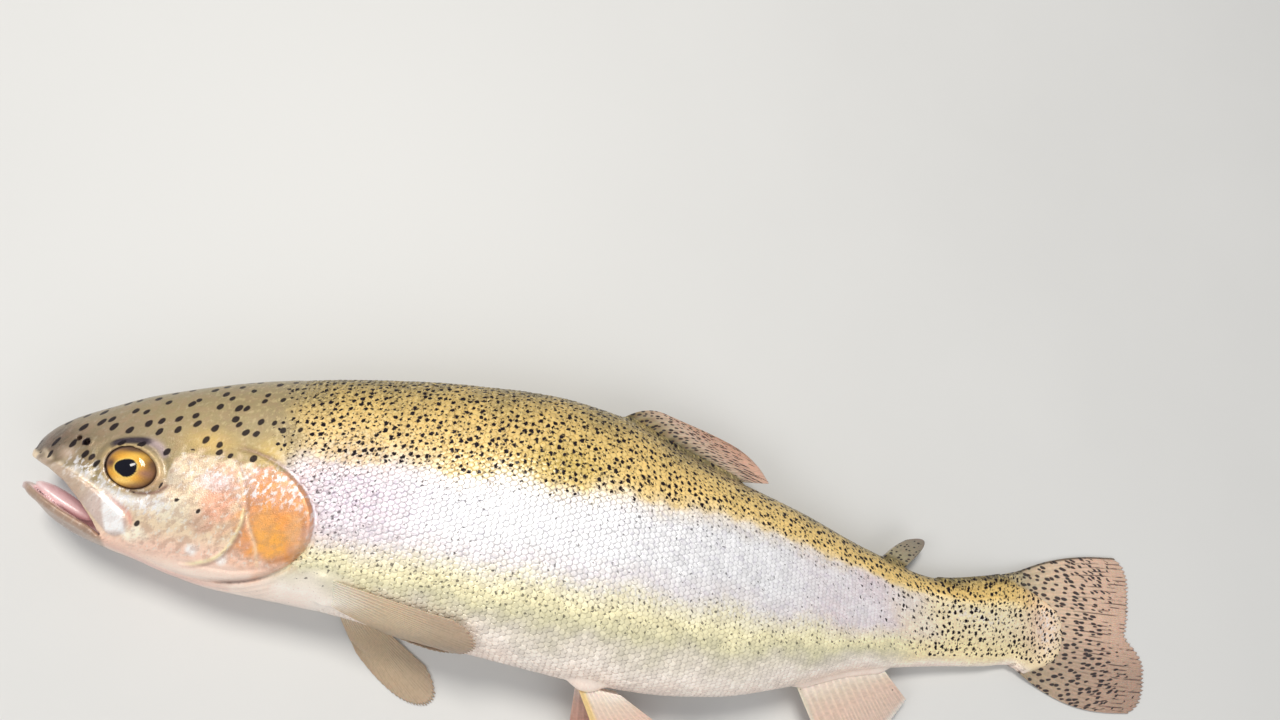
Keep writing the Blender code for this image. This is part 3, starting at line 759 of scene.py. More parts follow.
def tinted(base, *layers):
    """The base with layers of colour over it, each a colour and its amount."""
    for colour, amount in layers:
        base = base + (np.array(colour) - base) * np.clip(amount, 0, 1)[:, None]
    return base


def colour_ramp(stops, at):
    """The colours at some places between the stops, each a key and its colour."""
    keys, colours = zip(*stops, strict=True)
    return np.stack([np.interp(at, keys, shades) for shades in zip(*colours, strict=True)], 1)


def over_crown_line(x, y):
    return y - along_line(CROWN_LINE, x)


def tone_of(points):
    """The colour of the skin, before spots and grain, at points of the straight fish."""
    x, y, z = points.T
    zone = zone_of(x, y) + 0.10 * wobble(x, y, 9.0) + 0.05 * wobble(x, y, 3.0, 2.0)
    sparkle = soft_patch(x, y, (84, 0.5), (17, 10)) * (cover_share(x, y) > 1.02)
    rear_pink = ramp(196, 232, x) * fall(250, 275, x)
    pink = 0.5 * rear_pink + 0.4 * fall(80, 112, x)
    pink *= fall(0.75, 1.1, np.abs(zone)) * (0.7 + 0.3 * wobble(x, y, 8.0, 1.0))
    gold = ramp(236, 268, x + 4 * wobble(x, y, 6.0, 2.0)) * fall(1.0, 1.3, zone)
    stalk_ridge = ramp(272, 284, x) * ramp(-1.5, -0.4, y - back_at(x))
    tone = tinted(
        colour_ramp(ZONE_COLOURS, zone),
        # painted highlight: a lavender sheen on the band just behind the gill cover
        ((0.58, 0.50, 0.60), 0.75 * sparkle),
        (BAND_PINK, pink),
        (STALK_GOLD, 0.85 * gold * ramp(-2.0, -1.4, zone)),
        ((0.95, 0.64, 0.49), 0.75 * soft_patch(x, y, (304, -1.5), (8.5, 11.5))),
        (WEB_OLIVE, 0.9 * shoulder_share(x, y)),
        (EDGE_OLIVE, 0.85 * stalk_ridge),
        ((0.50, 0.36, 0.06), 0.7 * soft_patch(x, y, (136, 17), (13, 6.5))),
    )
    return head_tone(tone, x, y, z)


def head_tone(tone, x, y, z):
    """The trunk's tone with the head's over it, and the mouth's inside: pale pink, with painted shade under
    its roof.
    """
    head = fall(60, 74, x + 3.0 * wobble(x, y, 6.0, 3.0) - 10 * (cover_share(x, y) < 1.02))
    face = jaw_tone(cheek_tone(x, y), x, y)
    crown = ramp(-1.6, 1.4, over_crown_line(x, y) + 1.3 * wobble(x, y, 1.6, 6.0))
    face = face + (crown_tone(x, y) - face) * crown[:, None]
    face = orbit_tone(face, x, y)
    tone = tone + (face - tone) * head[:, None]
    inside = mouth_depth(x, y, z)
    roof_shade = inside * ramp(-0.4, 1.6, y - along_line(MOUTH_ROOF, x))
    # painted shade under the mouth's roof, above the tongue
    return tinted(tone, (TONGUE_PINK, inside), (MOUTH_SHADE, 0.7 * roof_shade))


def cheek_tone(x, y):
    """The cheek, the throat and the gill cover with its plates."""
    face = tinted(
        np.tile(CHEEK, (len(x), 1)),
        (LOWER_CHEEK, fall(-20, -14, y)),
        (THROAT, fall(-25, -20, y)),
        (COVER_PINK, ramp(54, 60, x) * ramp(-20, -16, y)),
    )
    for (px, py), (along, high), colour, strength in FACE_PATCHES:
        reach = np.hypot((x - px) / along, (y - py) / high) + 0.2 * wobble(x, y, 1.7, px)
        face = tinted(face, (colour, strength * fall(0.3, 1.2, reach)))
    arc, _, arc_along = nearest(x, y, AMBER_ARC)
    throat, _, throat_along = nearest(x, y, THROAT_LINE)
    distance, side, along = nearest(x, y, PREOPERCLE)
    signed = distance * side
    low = ramp(0.28, 0.36, along) * fall(0.74, 0.86, along)
    upper = fall(0.7, 0.9, along)
    return tinted(
        face,
        ((0.46, 0.17, 0.05), 0.7 * hill(arc, 0.7) * ramp(0, 0.2, arc_along)),
        ((0.72, 0.34, 0.27), 0.6 * hill(throat, 0.9) * hill(throat_along - 0.5, 0.5)),
        ((0.95, 0.80, 0.48), 0.95 * low * hill(signed + 0.3, 0.5)),
        # painted shade in the groove behind the preopercle's ridge
        ((0.34, 0.20, 0.15), 0.6 * hill(signed - 0.5, 0.45) * upper),
        ((0.88, 0.66, 0.44), 0.7 * hill(nearest(x, y, COVER_SEAM)[0], 0.5)),
    )


def jaw_tone(face, x, y):
    """The lower jaw's lip and chin, darkened as painted shade, the upper jaw's strap, and the pale plate at
    its end, near white partly as a painted wet highlight.
    """
    distance, side, _ = nearest(x, y, MOUTH_LOWER)
    jaw = fall(23.0, 24.5, x) * ramp(-0.6, 0.6, -side * distance)
    jaw_underside_shade = ramp(1.8, 4.6, distance) * fall(15, 21, x)
    strap = maxilla_distance(x, y)
    on_strap = fall(-0.3, 0.4, strap)
    plate_x, plate_y = (x - 26.0) + 0.28 * (y + 13.4), y + 13.4
    plate_and_wet_highlight = fall(0.75, 1.1, np.maximum(np.abs(plate_x) / 2.7, np.abs(plate_y) / 4.4))
    flush = hill(strap - 0.9, 0.75) * ramp(21, 26, x) * ramp(-17.5, -14, y)
    silver = hill(nearest(x, y, SILVER_LINE)[0], 1.7) * ramp(0.0, 0.08, strap)
    return tinted(
        face,
        (JAW_TAN_AND_SHADE, jaw),
        # painted shade, darker down the lower jaw's underside
        ((0.20, 0.13, 0.115), 0.8 * jaw * jaw_underside_shade),
        ((0.82, 0.70, 0.72), 0.8 * jaw * fall(-1.0, 2.0, x)),
        (STRAP_TAN, on_strap),
        ((0.72, 0.58, 0.54), 0.7 * on_strap * ramp(13.0, 20.0, x - 0.6 * y - 8)),
        # the pale plate at the strap's end: its own pale colour, made near white as a painted wet highlight
        ((0.98, 0.97, 0.96), 0.95 * plate_and_wet_highlight),
        ((0.84, 0.40, 0.32), 0.8 * flush),
        ((0.82, 0.80, 0.76), 0.85 * silver),
    )


def crown_tone(x, y):
    """The snout and the top of the head."""
    return tinted(
        np.tile(CROWN, (len(x), 1)),
        (SNOUT, soft_patch(x, y, (2, 4), (11, 9))),
        *((tone, much * soft_patch(x, y, place, reach)) for place, reach, tone, much in CROWN_PATCHES),
        ((0.21, 0.17, 0.085), 0.7 * ramp(0.55, 1.0, y / back_at(x))),
    )


def orbit_tone(face, x, y):
    """The eye's gold rim and the brow's lavender arc, and painted shade: on the lower lid, in a ring in the
    socket, in a line under the eye, in an arc under the brow's fold, in the nostrils and in the groove
    behind the gill cover.
    """
    around = eye_distance(x, y)
    lid_shade = soft_patch(x, y, (33.6, -4.2), (3.6, 2.6)) * ramp(6.6, 7.2, around)
    brow, _, along = nearest(x, y, BROW_LINE)
    front = ramp(0.0, 0.1, along) * fall(0.6, 0.75, along)
    turn = np.arctan2(y - EYE_CENTRE[1], x - EYE_CENTRE[0])
    shade = 0.30 + 0.75 * hill(turn - 1.6, 1.1) + 0.8 * hill(np.abs(turn) - 2.9, 0.5)
    shade = np.clip(shade + 0.7 * hill(turn + 0.7, 0.6), 0, 1)
    groove = hill(cover_edge(x, y) - 0.8, 0.5) * ramp(50, 58, x)
    return tinted(
        face,
        ((0.58, 0.42, 0.20), 0.8 * hill(around - 7.4, 0.9)),
        # painted shade on the lower lid at the eye's rear lower corner
        ((0.42, 0.26, 0.15), 0.8 * lid_shade),
        # painted shadow in a line under the eye
        ((0.12, 0.07, 0.06), 0.85 * hill(nearest(x, y, LID_SHADOW_LINE)[0], 0.45)),
        ((0.50, 0.38, 0.44), 0.6 * hill(brow - 0.2, 0.9) * ramp(0.45, 0.7, along)),
        # painted shade in an arc under the brow's fold
        (FOLD_AND_HOLE_SHADE, 0.97 * fall(0.5, 1.3, brow) * front),
        # painted shade: a dark ring in the socket around the eye, strongest at the top, front and lower rear
        ((0.055, 0.03, 0.03), 0.95 * shade * hill(around - 6.7, 0.45)),
        # painted shade in the nostril holes
        *((FOLD_AND_HOLE_SHADE, 1.1 * hill(np.hypot(x - px, y - py), radius * 1.1)) for px, py, radius in NOSTRILS),
        # painted shade in the groove behind the gill cover's edge
        ((0.24, 0.14, 0.12), 0.75 * groove),
    )


def mouth_depth(x, y, z):
    """1 on what lies inside the lips."""
    section = section_at(x).T
    ratio = np.hypot((y - section[2]) / body_reach(section, y), z / section[3])
    upper, lower = along_line(MOUTH_UPPER, x), along_line(MOUTH_LOWER, x)
    between = ramp(-3.2, -2.4, -np.abs(y - (upper + lower) / 2) + (upper - lower) / 2)
    front = ramp(0.0, 1.6, x)
    return between * front * fall(0.86, 0.93, ratio) * fall(23, 24, x)


def spots_of(points):
    """How many spots of each kind a place has: on the trunk, on the crown, and fine dots."""
    x, y, _ = points.T
    zone = zone_of(x, y)
    on_head = fall(55, 70, x + 3.0 * wobble(x, y, 3.0, 2.0))
    trunk = ramp(0.80, 1.12, zone)
    trunk = np.maximum(trunk, 0.9 * ramp(244, 262, x) * (zone > -1.5))
    trunk = np.maximum(trunk, 0.55 * ramp(214, 240, x) * ramp(-1.0, 0.6, zone))
    trunk = np.maximum(trunk, soft_patch(x, y, (136, 16), (13, 7))) * (1 - on_head)
    crown = on_head * ramp(-1.0, 1.0, over_crown_line(x, y))
    crown *= ramp(6.9, 8.2, eye_distance(x, y))
    cheek = ramp(27, 30, x) * fall(46, 50, x) * ramp(-18, -16, y) * (y < -7)
    crown = np.maximum(crown, 0.4 * cheek)
    dots = 0.25 + 0.5 * ramp(0.2, 0.9, zone) + 0.6 * hill(zone + 1.05, 0.35)
    dots *= (1 - on_head) * ramp(-1.5, -1.25, zone) * (cover_share(x, y) > 1.02)
    behind_cover = ramp(1.02, 1.06, cover_share(x, y)) * fall(80, 96, x)
    behind_cover *= (1 - on_head) * ramp(-1.9, -1.0, zone)
    return np.stack([trunk, crown, np.maximum(dots, 0.8 * behind_cover)], 1)


def glints_and_flecks_of(points):
    """How much of a place has painted white glints, how much painted lavender sheen, and how much gold
    flecks.
    """
    x, y, _ = points.T
    zone = zone_of(x, y)
    on_cover = (cover_share(x, y) < 0.98) * ramp(52, 57, x)
    front_band = soft_patch(x, y, (84, 1), (16, 11)) * (1 - on_cover)
    upper_cover = on_cover * ramp(-7.5, -2.5, y) * fall(2.5, 5.5, y)
    cheek = hill(nearest(x, y, SILVER_LINE)[0], 2.6) + soft_patch(x, y, (48, -0.5), (7, 3.4))
    band = fall(0.75, 1.1, np.abs(zone)) * ramp(70, 80, x) * fall(225, 262, x)
    white_glint = 0.95 * front_band
    for more in (
        0.7 * upper_cover,
        0.85 * cheek * (x < 58),
        0.5 * band,
        0.6 * soft_patch(x, y, (276, -2.5), (14, 3)),
        0.8 * soft_patch(x, y, (306, -2), (4, 9)),
    ):
        white_glint = np.maximum(white_glint, more)
    violet_sheen = np.maximum(0.8 * front_band, 0.5 * band) + 0.5 * upper_cover
    gold = ramp(0.85, 1.05, zone) * (0.3 + 0.7 * ramp(54, 70, x)) * ramp(30, 50, x)
    return np.stack([white_glint, violet_sheen, gold], 1)


def mottle_of(points):
    """How strongly the face's bony plates are mottled brown, and silver."""
    x, y, z = points.T
    over = over_crown_line(x, y)
    face = fall(70, 78, x) * (over < 0) * ramp(-23, -19, y)
    amber = fall(0.6, 1.1, np.hypot((x - 66.5) / 9.0, (y + 11.8) / 9.0))
    face = face * (1 - mouth_depth(x, y, z)) * (0.4 + 0.6 * ramp(26, 36, x))
    crown = ramp(0, 1, over) * fall(56, 68, x)
    crown *= ramp(1.0, 2.0, nearest(x, y, BROW_LINE)[0])
    brown = np.maximum(face * (1 - 0.3 * amber), 0.4 * crown)
    silver = np.maximum(face * (1 - 0.9 * amber), 0.15 * crown)
    return np.stack([brown, silver, 0 * x], 1)


def sheen_of(points):
    """1 where the skin is silver, 0 on the back."""
    x, y, _ = points.T
    zone = zone_of(x, y)
    return fall(0.7, 1.2, zone) * (0.55 + 0.45 * fall(0.8, 1.4, -zone))


def markings(points, grain, rim):
    """All attributes that the skin's material reads."""
    x, y, z = points.T
    height = np.where(x > 282, np.maximum(np.abs(z), body_height(x, y)), np.abs(z))
    side = np.where(z < 0, -1.0, 1.0)
    from_back = side * (1 - flank.share_of(x, y, height)) * flank.girth_at(x)
    return {
        "tone": tone_of(points),
        "lie": np.stack([x, from_back, 0 * x], 1),
        "spots": spots_of(points),
        "glints_and_flecks": glints_and_flecks_of(points),
        "mottle": mottle_of(points),
        "grain": np.stack([grain, rim, sheen_of(points)], 1),
    }


# ---------------------------------------------------------------- materials


class Surface:
    """A small helper that builds one material's nodes."""

    def __init__(self, name, roughness):
        self.material = bpy.data.materials.new(name)
        self.material.use_nodes = True
        self.tree = self.material.node_tree
        self.shader = self.tree.nodes["Principled BSDF"]
        self.set(Roughness=roughness)

    def fill(self, socket, value):
        """Links a socket to another, or gives it a constant value."""
        if isinstance(value, bpy.types.NodeSocket):
            self.tree.links.new(value, socket)
        else:
            socket.default_value = value

    def set(self, **values):
        """Sets or links the shader's own sockets."""
        for key, value in values.items():
            self.fill(self.shader.inputs[key.replace("_", " ")], value)

    def node(self, kind, values, **settings):
        made = self.tree.nodes.new(kind)
        for key, value in settings.items():
            setattr(made, key, value)
        for key, value in values.items():
            self.fill(made.inputs[key], value)
        return made.outputs

    def attribute(self, name, output="Vector"):
        return self.node("ShaderNodeAttribute", {}, attribute_name=name)[output]

    def parts(self, vector):
        return self.node("ShaderNodeSeparateXYZ", {0: vector})

    def math(self, operation, a, b=0.0, c=0.0):
        return self.node("ShaderNodeMath", {0: a, 1: b, 2: c}, operation=operation)[0]

    def times(self, a, b):
        return self.math("MULTIPLY", a, b)

    def times_plus(self, a, b, c):
        return self.math("MULTIPLY_ADD", a, b, c)

    def step(self, value, low, high):
        """Goes smoothly from 0 to 1 as the value goes from low to high."""
        values = {0: value, 1: low, 2: high}
        return self.node("ShaderNodeMapRange", values, interpolation_type="SMOOTHSTEP")[0]

    def noise(self, vector, scale, detail=3.0, roughness=0.55, distortion=0.0, output="Fac"):
        values = {"Vector": vector, "Scale": scale, "Detail": detail}
        values |= {"Roughness": roughness, "Distortion": distortion}
        return self.node("ShaderNodeTexNoise", values)[output]

    def vector_math(self, operation, *values):
        return self.node("ShaderNodeVectorMath", dict(enumerate(values)), operation=operation)[0]

    def scaled(self, vector, factors):
        return self.vector_math("MULTIPLY", vector, factors)

    def bent(self, vector, scale, reach):
        """The vector moved about by smooth noise, by up to about half the reach."""
        noise = self.noise(vector, scale, 2.0, output="Color")
        centred = self.vector_math("SUBTRACT", noise, (0.5, 0.5, 0.5))
        return self.vector_math("MULTIPLY_ADD", centred, (reach, reach, 0.0), vector)

    def mix(self, amount, a, b, way="MIX"):
        made = self.tree.nodes.new("ShaderNodeMix")
        made.data_type, made.blend_type = "RGBA", way
        for socket, value in zip((0, 6, 7), (amount, a, b), strict=True):
            self.fill(made.inputs[socket], (*value, 1) if isinstance(value, tuple) else value)
        return made.outputs[2]

    def lit(self, tone, light):
        """The tone made lighter or darker by a number."""
        grey = self.node("ShaderNodeCombineXYZ", {0: light, 1: light, 2: light})[0]
        return self.mix(1.0, tone, grey, "MULTIPLY")

    def bump(self, height, strength, distance):
        values = {"Height": height, "Strength": strength, "Distance": distance}
        self.set(Normal=self.node("ShaderNodeBump", values)[0])


SPOT_COLOUR = (0.014, 0.009, 0.014)


def spot_layer(surface, where, cell, reach, amount, soft=0.06, spread=0.75):
    """Irregular round spots: one in each cell of a random pattern, where the amount allows it."""
    values = {"Vector": where, "Scale": 1 / cell, "Randomness": 0.8}
    found = surface.node("ShaderNodeTexVoronoi", values, voronoi_dimensions="2D")
    chance = surface.parts(found["Color"])
    size = surface.times_plus(chance[0], reach * spread, reach * (1.1 - 0.7 * spread))
    size = surface.times(size, surface.times_plus(amount, 0.45, 0.55))
    gap = surface.math("SUBTRACT", size, found["Distance"])
    shown = surface.math("GREATER_THAN", amount, surface.times_plus(chance[1], 0.9, 0.06))
    return surface.times(surface.step(gap, -soft, soft), shown)


def skin_spots(surface, lie):
    """The dark spots of the trunk, large and small, of the crown, and the fine dots."""
    amounts = surface.parts(surface.attribute("spots"))
    jagged = surface.bent(lie, 1.2, 1.4)
    smooth = surface.scaled(surface.bent(lie, 0.35, 0.9), (1.0, 0.86, 0.0))
    dark = spot_layer(surface, jagged, 2.0, 0.25, amounts[0])
    for layer, strength in (
        (spot_layer(surface, jagged, 1.25, 0.22, surface.times(amounts[0], 0.5)), 0.85),
        (spot_layer(surface, smooth, 4.2, 0.195, amounts[1], 0.04, 0.3), 0.95),
        (spot_layer(surface, jagged, 1.7, 0.18, amounts[2]), 0.75),
    ):
        dark = surface.math("MAXIMUM", dark, surface.times(layer, strength))
    return dark


def skin_material():
    surface = Surface("trout_skin", 0.3)
    lie = surface.attribute("lie")
    grain = surface.parts(surface.attribute("grain"))
    glints_and_flecks = surface.parts(surface.attribute("glints_and_flecks"))
    mottled = surface.parts(surface.attribute("mottle"))
    clouds = surface.noise(lie, 0.16, 4.0)
    fine = surface.noise(lie, 1.7, 2.0)
    light = surface.times_plus(clouds, 0.40, 0.70)
    light = surface.times_plus(fine, 0.28, light)
    light = surface.times_plus(grain[0], 0.26, light)
    # Each scale is a little darker at its rim and skirt: painted shade where it meets the scales around it.
    light = surface.math("SUBTRACT", light, surface.times(grain[1], 0.10))
    colour = surface.lit(surface.attribute("tone"), light)
    broken = surface.noise(surface.scaled(lie, (1.0, 0.75, 0.0)), 0.85, 4.0, 0.62)
    blotches = surface.noise(lie, 0.42, 4.0, 0.65)
    for pattern, low, high, amount, strength, fleck_and_glint in (
        (blotches, 0.44, 0.60, mottled[0], 0.45, (0.46, 0.25, 0.17)),
        (broken, 0.53, 0.66, mottled[1], 0.55, (0.90, 0.86, 0.78)),
        (broken, 0.50, 0.64, glints_and_flecks[2], 0.6, (0.86, 0.66, 0.26)),
        # The brown and silver mottle and the gold flecks are the skin's own colours; the last two layers
        # paint lavender sheen and white glints as highlights.
        (surface.noise(lie, 0.5), 0.5, 0.62, glints_and_flecks[1], 0.4, (0.56, 0.48, 0.68)),
        (broken, 0.48, 0.60, glints_and_flecks[0], 1.0, (0.97, 0.95, 0.97)),
    ):
        patch = surface.times(surface.step(pattern, low, high), amount)
        colour = surface.mix(surface.times(patch, strength), colour, fleck_and_glint)
    dark = skin_spots(surface, lie)
    wet = surface.times_plus(dark, -0.8, 1.0)
    surface.set(Base_Color=surface.mix(dark, colour, SPOT_COLOUR))
    surface.set(Roughness=surface.times_plus(fine, 0.24, 0.20), Metallic=surface.times(grain[2], 0.3))
    surface.set(Coat_Weight=surface.times(wet, 0.38), Coat_Roughness=0.14)
    surface.set(Specular_IOR_Level=surface.times(wet, 0.45))
    pores = surface.times_plus(surface.noise(lie, 3.2), 0.6, clouds)
    pores = surface.times_plus(broken, surface.times(glints_and_flecks[0], 0.8), pores)
    surface.bump(pores, 0.45, 0.0005)
    return surface.material


def fin_material(name, across, along, spot_size, spot_amount, streaks, lines, wet=0.45):
    """Rays lighter than the web between them, with rows of dark spots and thin dark lines. The
    ray attribute holds the place across in rays, the place along the ray in mm and the ray's
    ridge; the cloth attribute holds the places across and along in mm."""
    surface = Surface(name, 0.36)
    ray = surface.attribute("ray")
    parts = surface.parts(ray)
    inner = surface.math("SUBTRACT", 1.0, surface.times(surface.attribute("edge", "Fac"), 0.75))
    grainy = surface.noise(ray, 1.1, 4.0)
    light = surface.times_plus(parts[2], streaks, surface.times_plus(grainy, 0.5, 0.62))
    colour = surface.lit(surface.attribute("tone"), light)
    wave = surface.math("COSINE", surface.times(parts[0], 4 * math.pi))
    groove = surface.step(surface.times(wave, -1.0), 0.35, 0.95)
    streaked = surface.noise(surface.scaled(ray, (1.6, 0.13, 0.0)), 1.0)
    line = surface.times(surface.step(streaked, 0.46, 0.58), groove)
    line = surface.times(line, surface.attribute("outer", "Fac"))
    colour = surface.mix(surface.times(line, lines), colour, (0.06, 0.04, 0.035))
    cloth = surface.scaled(surface.attribute("cloth"), (1 / across, 1 / along, 0.0))
    place, amount = surface.bent(cloth, 0.9, 0.35), surface.times(inner, spot_amount)
    dark = surface.times(spot_layer(surface, place, 1.0, spot_size, amount, 0.07, 0.5), 0.94)
    surface.set(Base_Color=surface.mix(dark, colour, SPOT_COLOUR))
    surface.set(Roughness=surface.times_plus(grainy, 0.3, 0.25))
    surface.set(Coat_Weight=wet, Coat_Roughness=0.15, Subsurface_Weight=0.15, Subsurface_Scale=0.002)
    surface.bump(grainy, 0.3, 0.0002)
    return surface.material


def eye_material():
    surface = Surface("trout_eye", 0.12)
    disc = surface.attribute("disc")
    speckle = surface.noise(disc, 9.0, 5.0, 0.65)
    fibres = surface.noise(disc, 3.0, 3.0, 0.6, 1.5)
    light = surface.math("SUBTRACT", surface.times_plus(speckle, 0.7, 0.62), 0.12)
    light = surface.times_plus(fibres, 0.3, light)
    surface.set(Base_Color=surface.lit(surface.attribute("tone"), light))
    surface.set(Roughness=surface.times_plus(speckle, 0.1, 0.05))
    surface.set(Coat_Weight=0.12, Coat_Roughness=0.05, Specular_IOR_Level=0.3)
    return surface.material


def floor_material():
    surface = Surface("pale_floor", 0.55)
    where = surface.node("ShaderNodeTexCoord", {})["Object"]
    cloud = surface.noise(where, 9.0, 5.0)
    surface.set(Base_Color=surface.mix(cloud, (0.66, 0.66, 0.65), (0.72, 0.72, 0.71)))
    surface.set(Roughness=surface.times_plus(cloud, 0.2, 0.45))
    return surface.material


# ---------------------------------------------------------------- pieces

FLESH_NODES = (
    "head", "lower_jaw", "tongue", "upper_jaw_plate_left", "upper_jaw_plate_right",
    "gill_cover_left", "gill_cover_right", "trunk_front", "trunk_rear", "tail_stalk",
)


def dress(piece, material, slot, *nodes):
    """Gives a piece its material and its place among the solids."""
    piece.data.materials.clear()
    piece.data.materials.append(material)
    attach(piece, "root")
    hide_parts(*nodes)


def build_skin(material):
    xs, ys, zs = grid_lines()
    half = skin_field(xs, ys, zs)
    whole = np.concatenate([half[:, :, :0:-1], half], axis=2)
    points, quads = surface_of(whole, (xs, ys, np.concatenate([-zs[:0:-1], zs])))
    grain = np.full(len(points), 0.5)
    attributes = markings(points, grain, 0 * grain)
    skin = mesh_object("trout_skin", placed(points, 0.3), quads, attributes)
    dress(skin, material, "trunk_front", *FLESH_NODES)


SCALE_COLUMNS = 62  # from the belly to the back on each side
SCALE_LENGTHS = ((60, 1.3), (100, 1.5), (190, 1.5), (255, 1.15), (300, 0.95))  # by x, in mm
SCALE_RISE = 0.13  # how high a scale's free edge stands, in mm
SCALE_SHAPE = (  # along, across and height of half a scale, as shares of its length, width and rise
    (-0.85, 0.0, -0.3),
    (-0.38, 0.50, -0.05),
    (0.22, 0.53, 0.45),
    (0.55, 0.29, 0.9),
    (0.71, 0.0, 1.0),
)
SCALE_PIECES = 5
# The solid that a piece of the scales replaces, by the least x of the piece.
TRUNK_NODES = ((214.0, "tail_stalk"), (150.0, "trunk_rear"), (0.0, "trunk_front"))
UNWRAPPED_HALF_WIDTH = 0.0015  # half the room of one scale on the unwrapped skin


def unwrapped(x, q, side):
    """The skin's own flat map: x along u, the girth along v, the left side above the right."""
    u = 0.01 + 0.98 * (x + 3) / (FLESH_END + 6)
    v = np.where(side > 0, 0.51 + 0.48 * q, 0.49 - 0.48 * q)
    return np.stack([u, v], -1)


def give_map(mesh, places):
    """Gives each point's loops a spot on the unwrapped skin: places are (u, v) for each point."""
    layer = mesh.uv_layers.new(name="OFBake")
    index = np.zeros(len(mesh.loops), np.int32)
    mesh.loops.foreach_get("vertex_index", index)
    layer.data.foreach_set("uv", np.asarray(places, np.float32)[index].ravel())


def scale_rows():
    x, rows = GILL_LINE - 12, []
    while x < FLESH_END - 3:
        rows.append(x)
        x += float(along_line(SCALE_LENGTHS, x))
    return rows


def scale_places():
    """Centre x, share q and side of every scale, in staggered rows from the gill cover to the tail."""
    places = []
    for row, x in enumerate(scale_rows()):
        q = (np.arange(SCALE_COLUMNS) + 0.25 + 0.5 * (row % 2)) / SCALE_COLUMNS
        for side in (1, -1):
            places.append(np.stack([np.full(SCALE_COLUMNS, x), q, np.full(SCALE_COLUMNS, side)], 1))
    places = np.concatenate(places)
    places[:, 0] += rng.normal(0, 0.11, len(places))
    places[:, 1] += rng.normal(0, 0.07, len(places)) / SCALE_COLUMNS
    x, q, _ = places.T
    y = flank.point(x, q, np.ones_like(q))[:, 1]
    return places[coat_share(x, y) > 0.5]


def scale_form():
    """One scale: points as shares of its length, width and rise, triangles, and 1 at its rim."""
    rim = np.array([*SCALE_SHAPE, *((along, -across, high) for along, across, high in SCALE_SHAPE[-2:0:-1])])
    inner = rim * (0.62, 0.62, 1.0) + (0.02, 0, 0.12)
    inner[:, 2] = 0.25 + 0.75 * np.clip(inner[:, 2], -0.1, 1)
    low = rim.copy()
    low[:, 2] -= 0.75
    points = np.concatenate([[(0.08, 0.0, 0.78)], inner, rim, low])
    n = len(rim)
    faces = []
    for j in range(n):
        k = (j + 1) % n
        faces.append((0, 1 + j, 1 + k))
        for ring in (1, 1 + n):
            faces += [(ring + j, ring + n + j, ring + n + k), (ring + j, ring + n + k, ring + k)]
    bottom = 1 + 2 * n
    faces += [(bottom, bottom + j + 1, bottom + j) for j in range(1, n - 1)]
    edge = np.concatenate([[0.0], np.full(n, 0.1), np.full(2 * n, 1.0)])
    return points, np.array(faces), edge


def build_scales(material):
    places = scale_places()
    x, q, side = places.T
    count = len(places)
    length = along_line(SCALE_LENGTHS, x) * rng.uniform(0.94, 1.06, count)
    width = flank.girth_at(x) / SCALE_COLUMNS
    rise = SCALE_RISE * rng.uniform(0.55, 1.45, count) * np.clip(width / 1.7, 0.45, 1)
    form, faces, edge = scale_form()
    yaw = rng.normal(0, 0.09, count)[:, None]
    along = form[:, 0] * length[:, None] * 1.15
    across = form[:, 1] * width[:, None] * 1.14
    at_x = x[:, None] + (along * np.cos(yaw) - across * np.sin(yaw))
    at_q = q[:, None] + (along * np.sin(yaw) + across * np.cos(yaw)) / flank.girth_at(at_x)
    out = form[:, 2] * rise[:, None] - COAT_DEPTH
    points = flank.point(at_x, at_q, np.repeat(side[:, None], len(form), 1), out)
    join_scales(material, places, points, faces, rng.uniform(0, 1, count), edge)


def join_scales(material, places, points, faces, grain, edge):
    """Joins the scales in pieces by their place along the fish."""
    x = places[:, 0]
    size = points.shape[1]
    borders = np.quantile(x, np.linspace(0, 1, SCALE_PIECES + 1))
    number = np.clip(np.searchsorted(borders, x, side="right") - 1, 0, SCALE_PIECES - 1)
    for i in range(SCALE_PIECES):
        chosen = np.flatnonzero(number == i)
        these = points[chosen].reshape(-1, 3)
        joined = (faces[None] + (np.arange(len(chosen)) * size)[:, None, None]).reshape(-1, 3)
        attributes = markings(these, np.repeat(grain[chosen], size), np.tile(edge, len(chosen)))
        piece = mesh_object(f"scales_{i + 1}", placed(these, 0.03), joined, attributes)
        corners = rng.uniform(-UNWRAPPED_HALF_WIDTH, UNWRAPPED_HALF_WIDTH, (size, 2))
        spots = unwrapped(*places[chosen].T)[:, None] + corners
        give_map(piece.data, spots.reshape(-1, 2))
        node = next(name for start, name in TRUNK_NODES if borders[i] >= start)
        dress(piece, material, node, node)


# ---------------------------------------------------------------- fins


def bow(first, middle, last, t):
    """A curve through three points."""
    first, middle, last = (np.array(p, float) for p in (first, middle, last))
    pull = 2 * middle - (first + last) / 2
    return (1 - t) ** 2 * first + 2 * t * (1 - t) * pull + t * t * last


def tapering(root, edge=FIN_EDGE):
    """A fin's thickness in mm, from its root to its edge."""
    return lambda u, v: edge + (root - edge) * (1 - v) ** 2


FIN_WEB = 0.24  # the thickness in mm of the web between the rays
FIN_ROOT_DEPTH = 0.9  # how deep a fin's root sits in the skin


def fin_ridges(us, vs, rays):
    """The rays' rounded backs, which split in two halfway out and again near the edge, and the
    same backs as they are where split in two."""
    split = ramp(0.30, 0.50, vs)[None, :]
    split_again = ramp(0.62, 0.8, vs)[None, :]
    phase = us * rays
    single, double, fourfold = (0.5 + 0.5 * np.cos(2 * math.pi * n * phase)[:, None] for n in (1, 2, 4))
    ridge = (single * (1 - split) + double * split) ** 2
    return ridge * (1 - split_again) + fourfold**1.5 * split_again, double[:, 0]


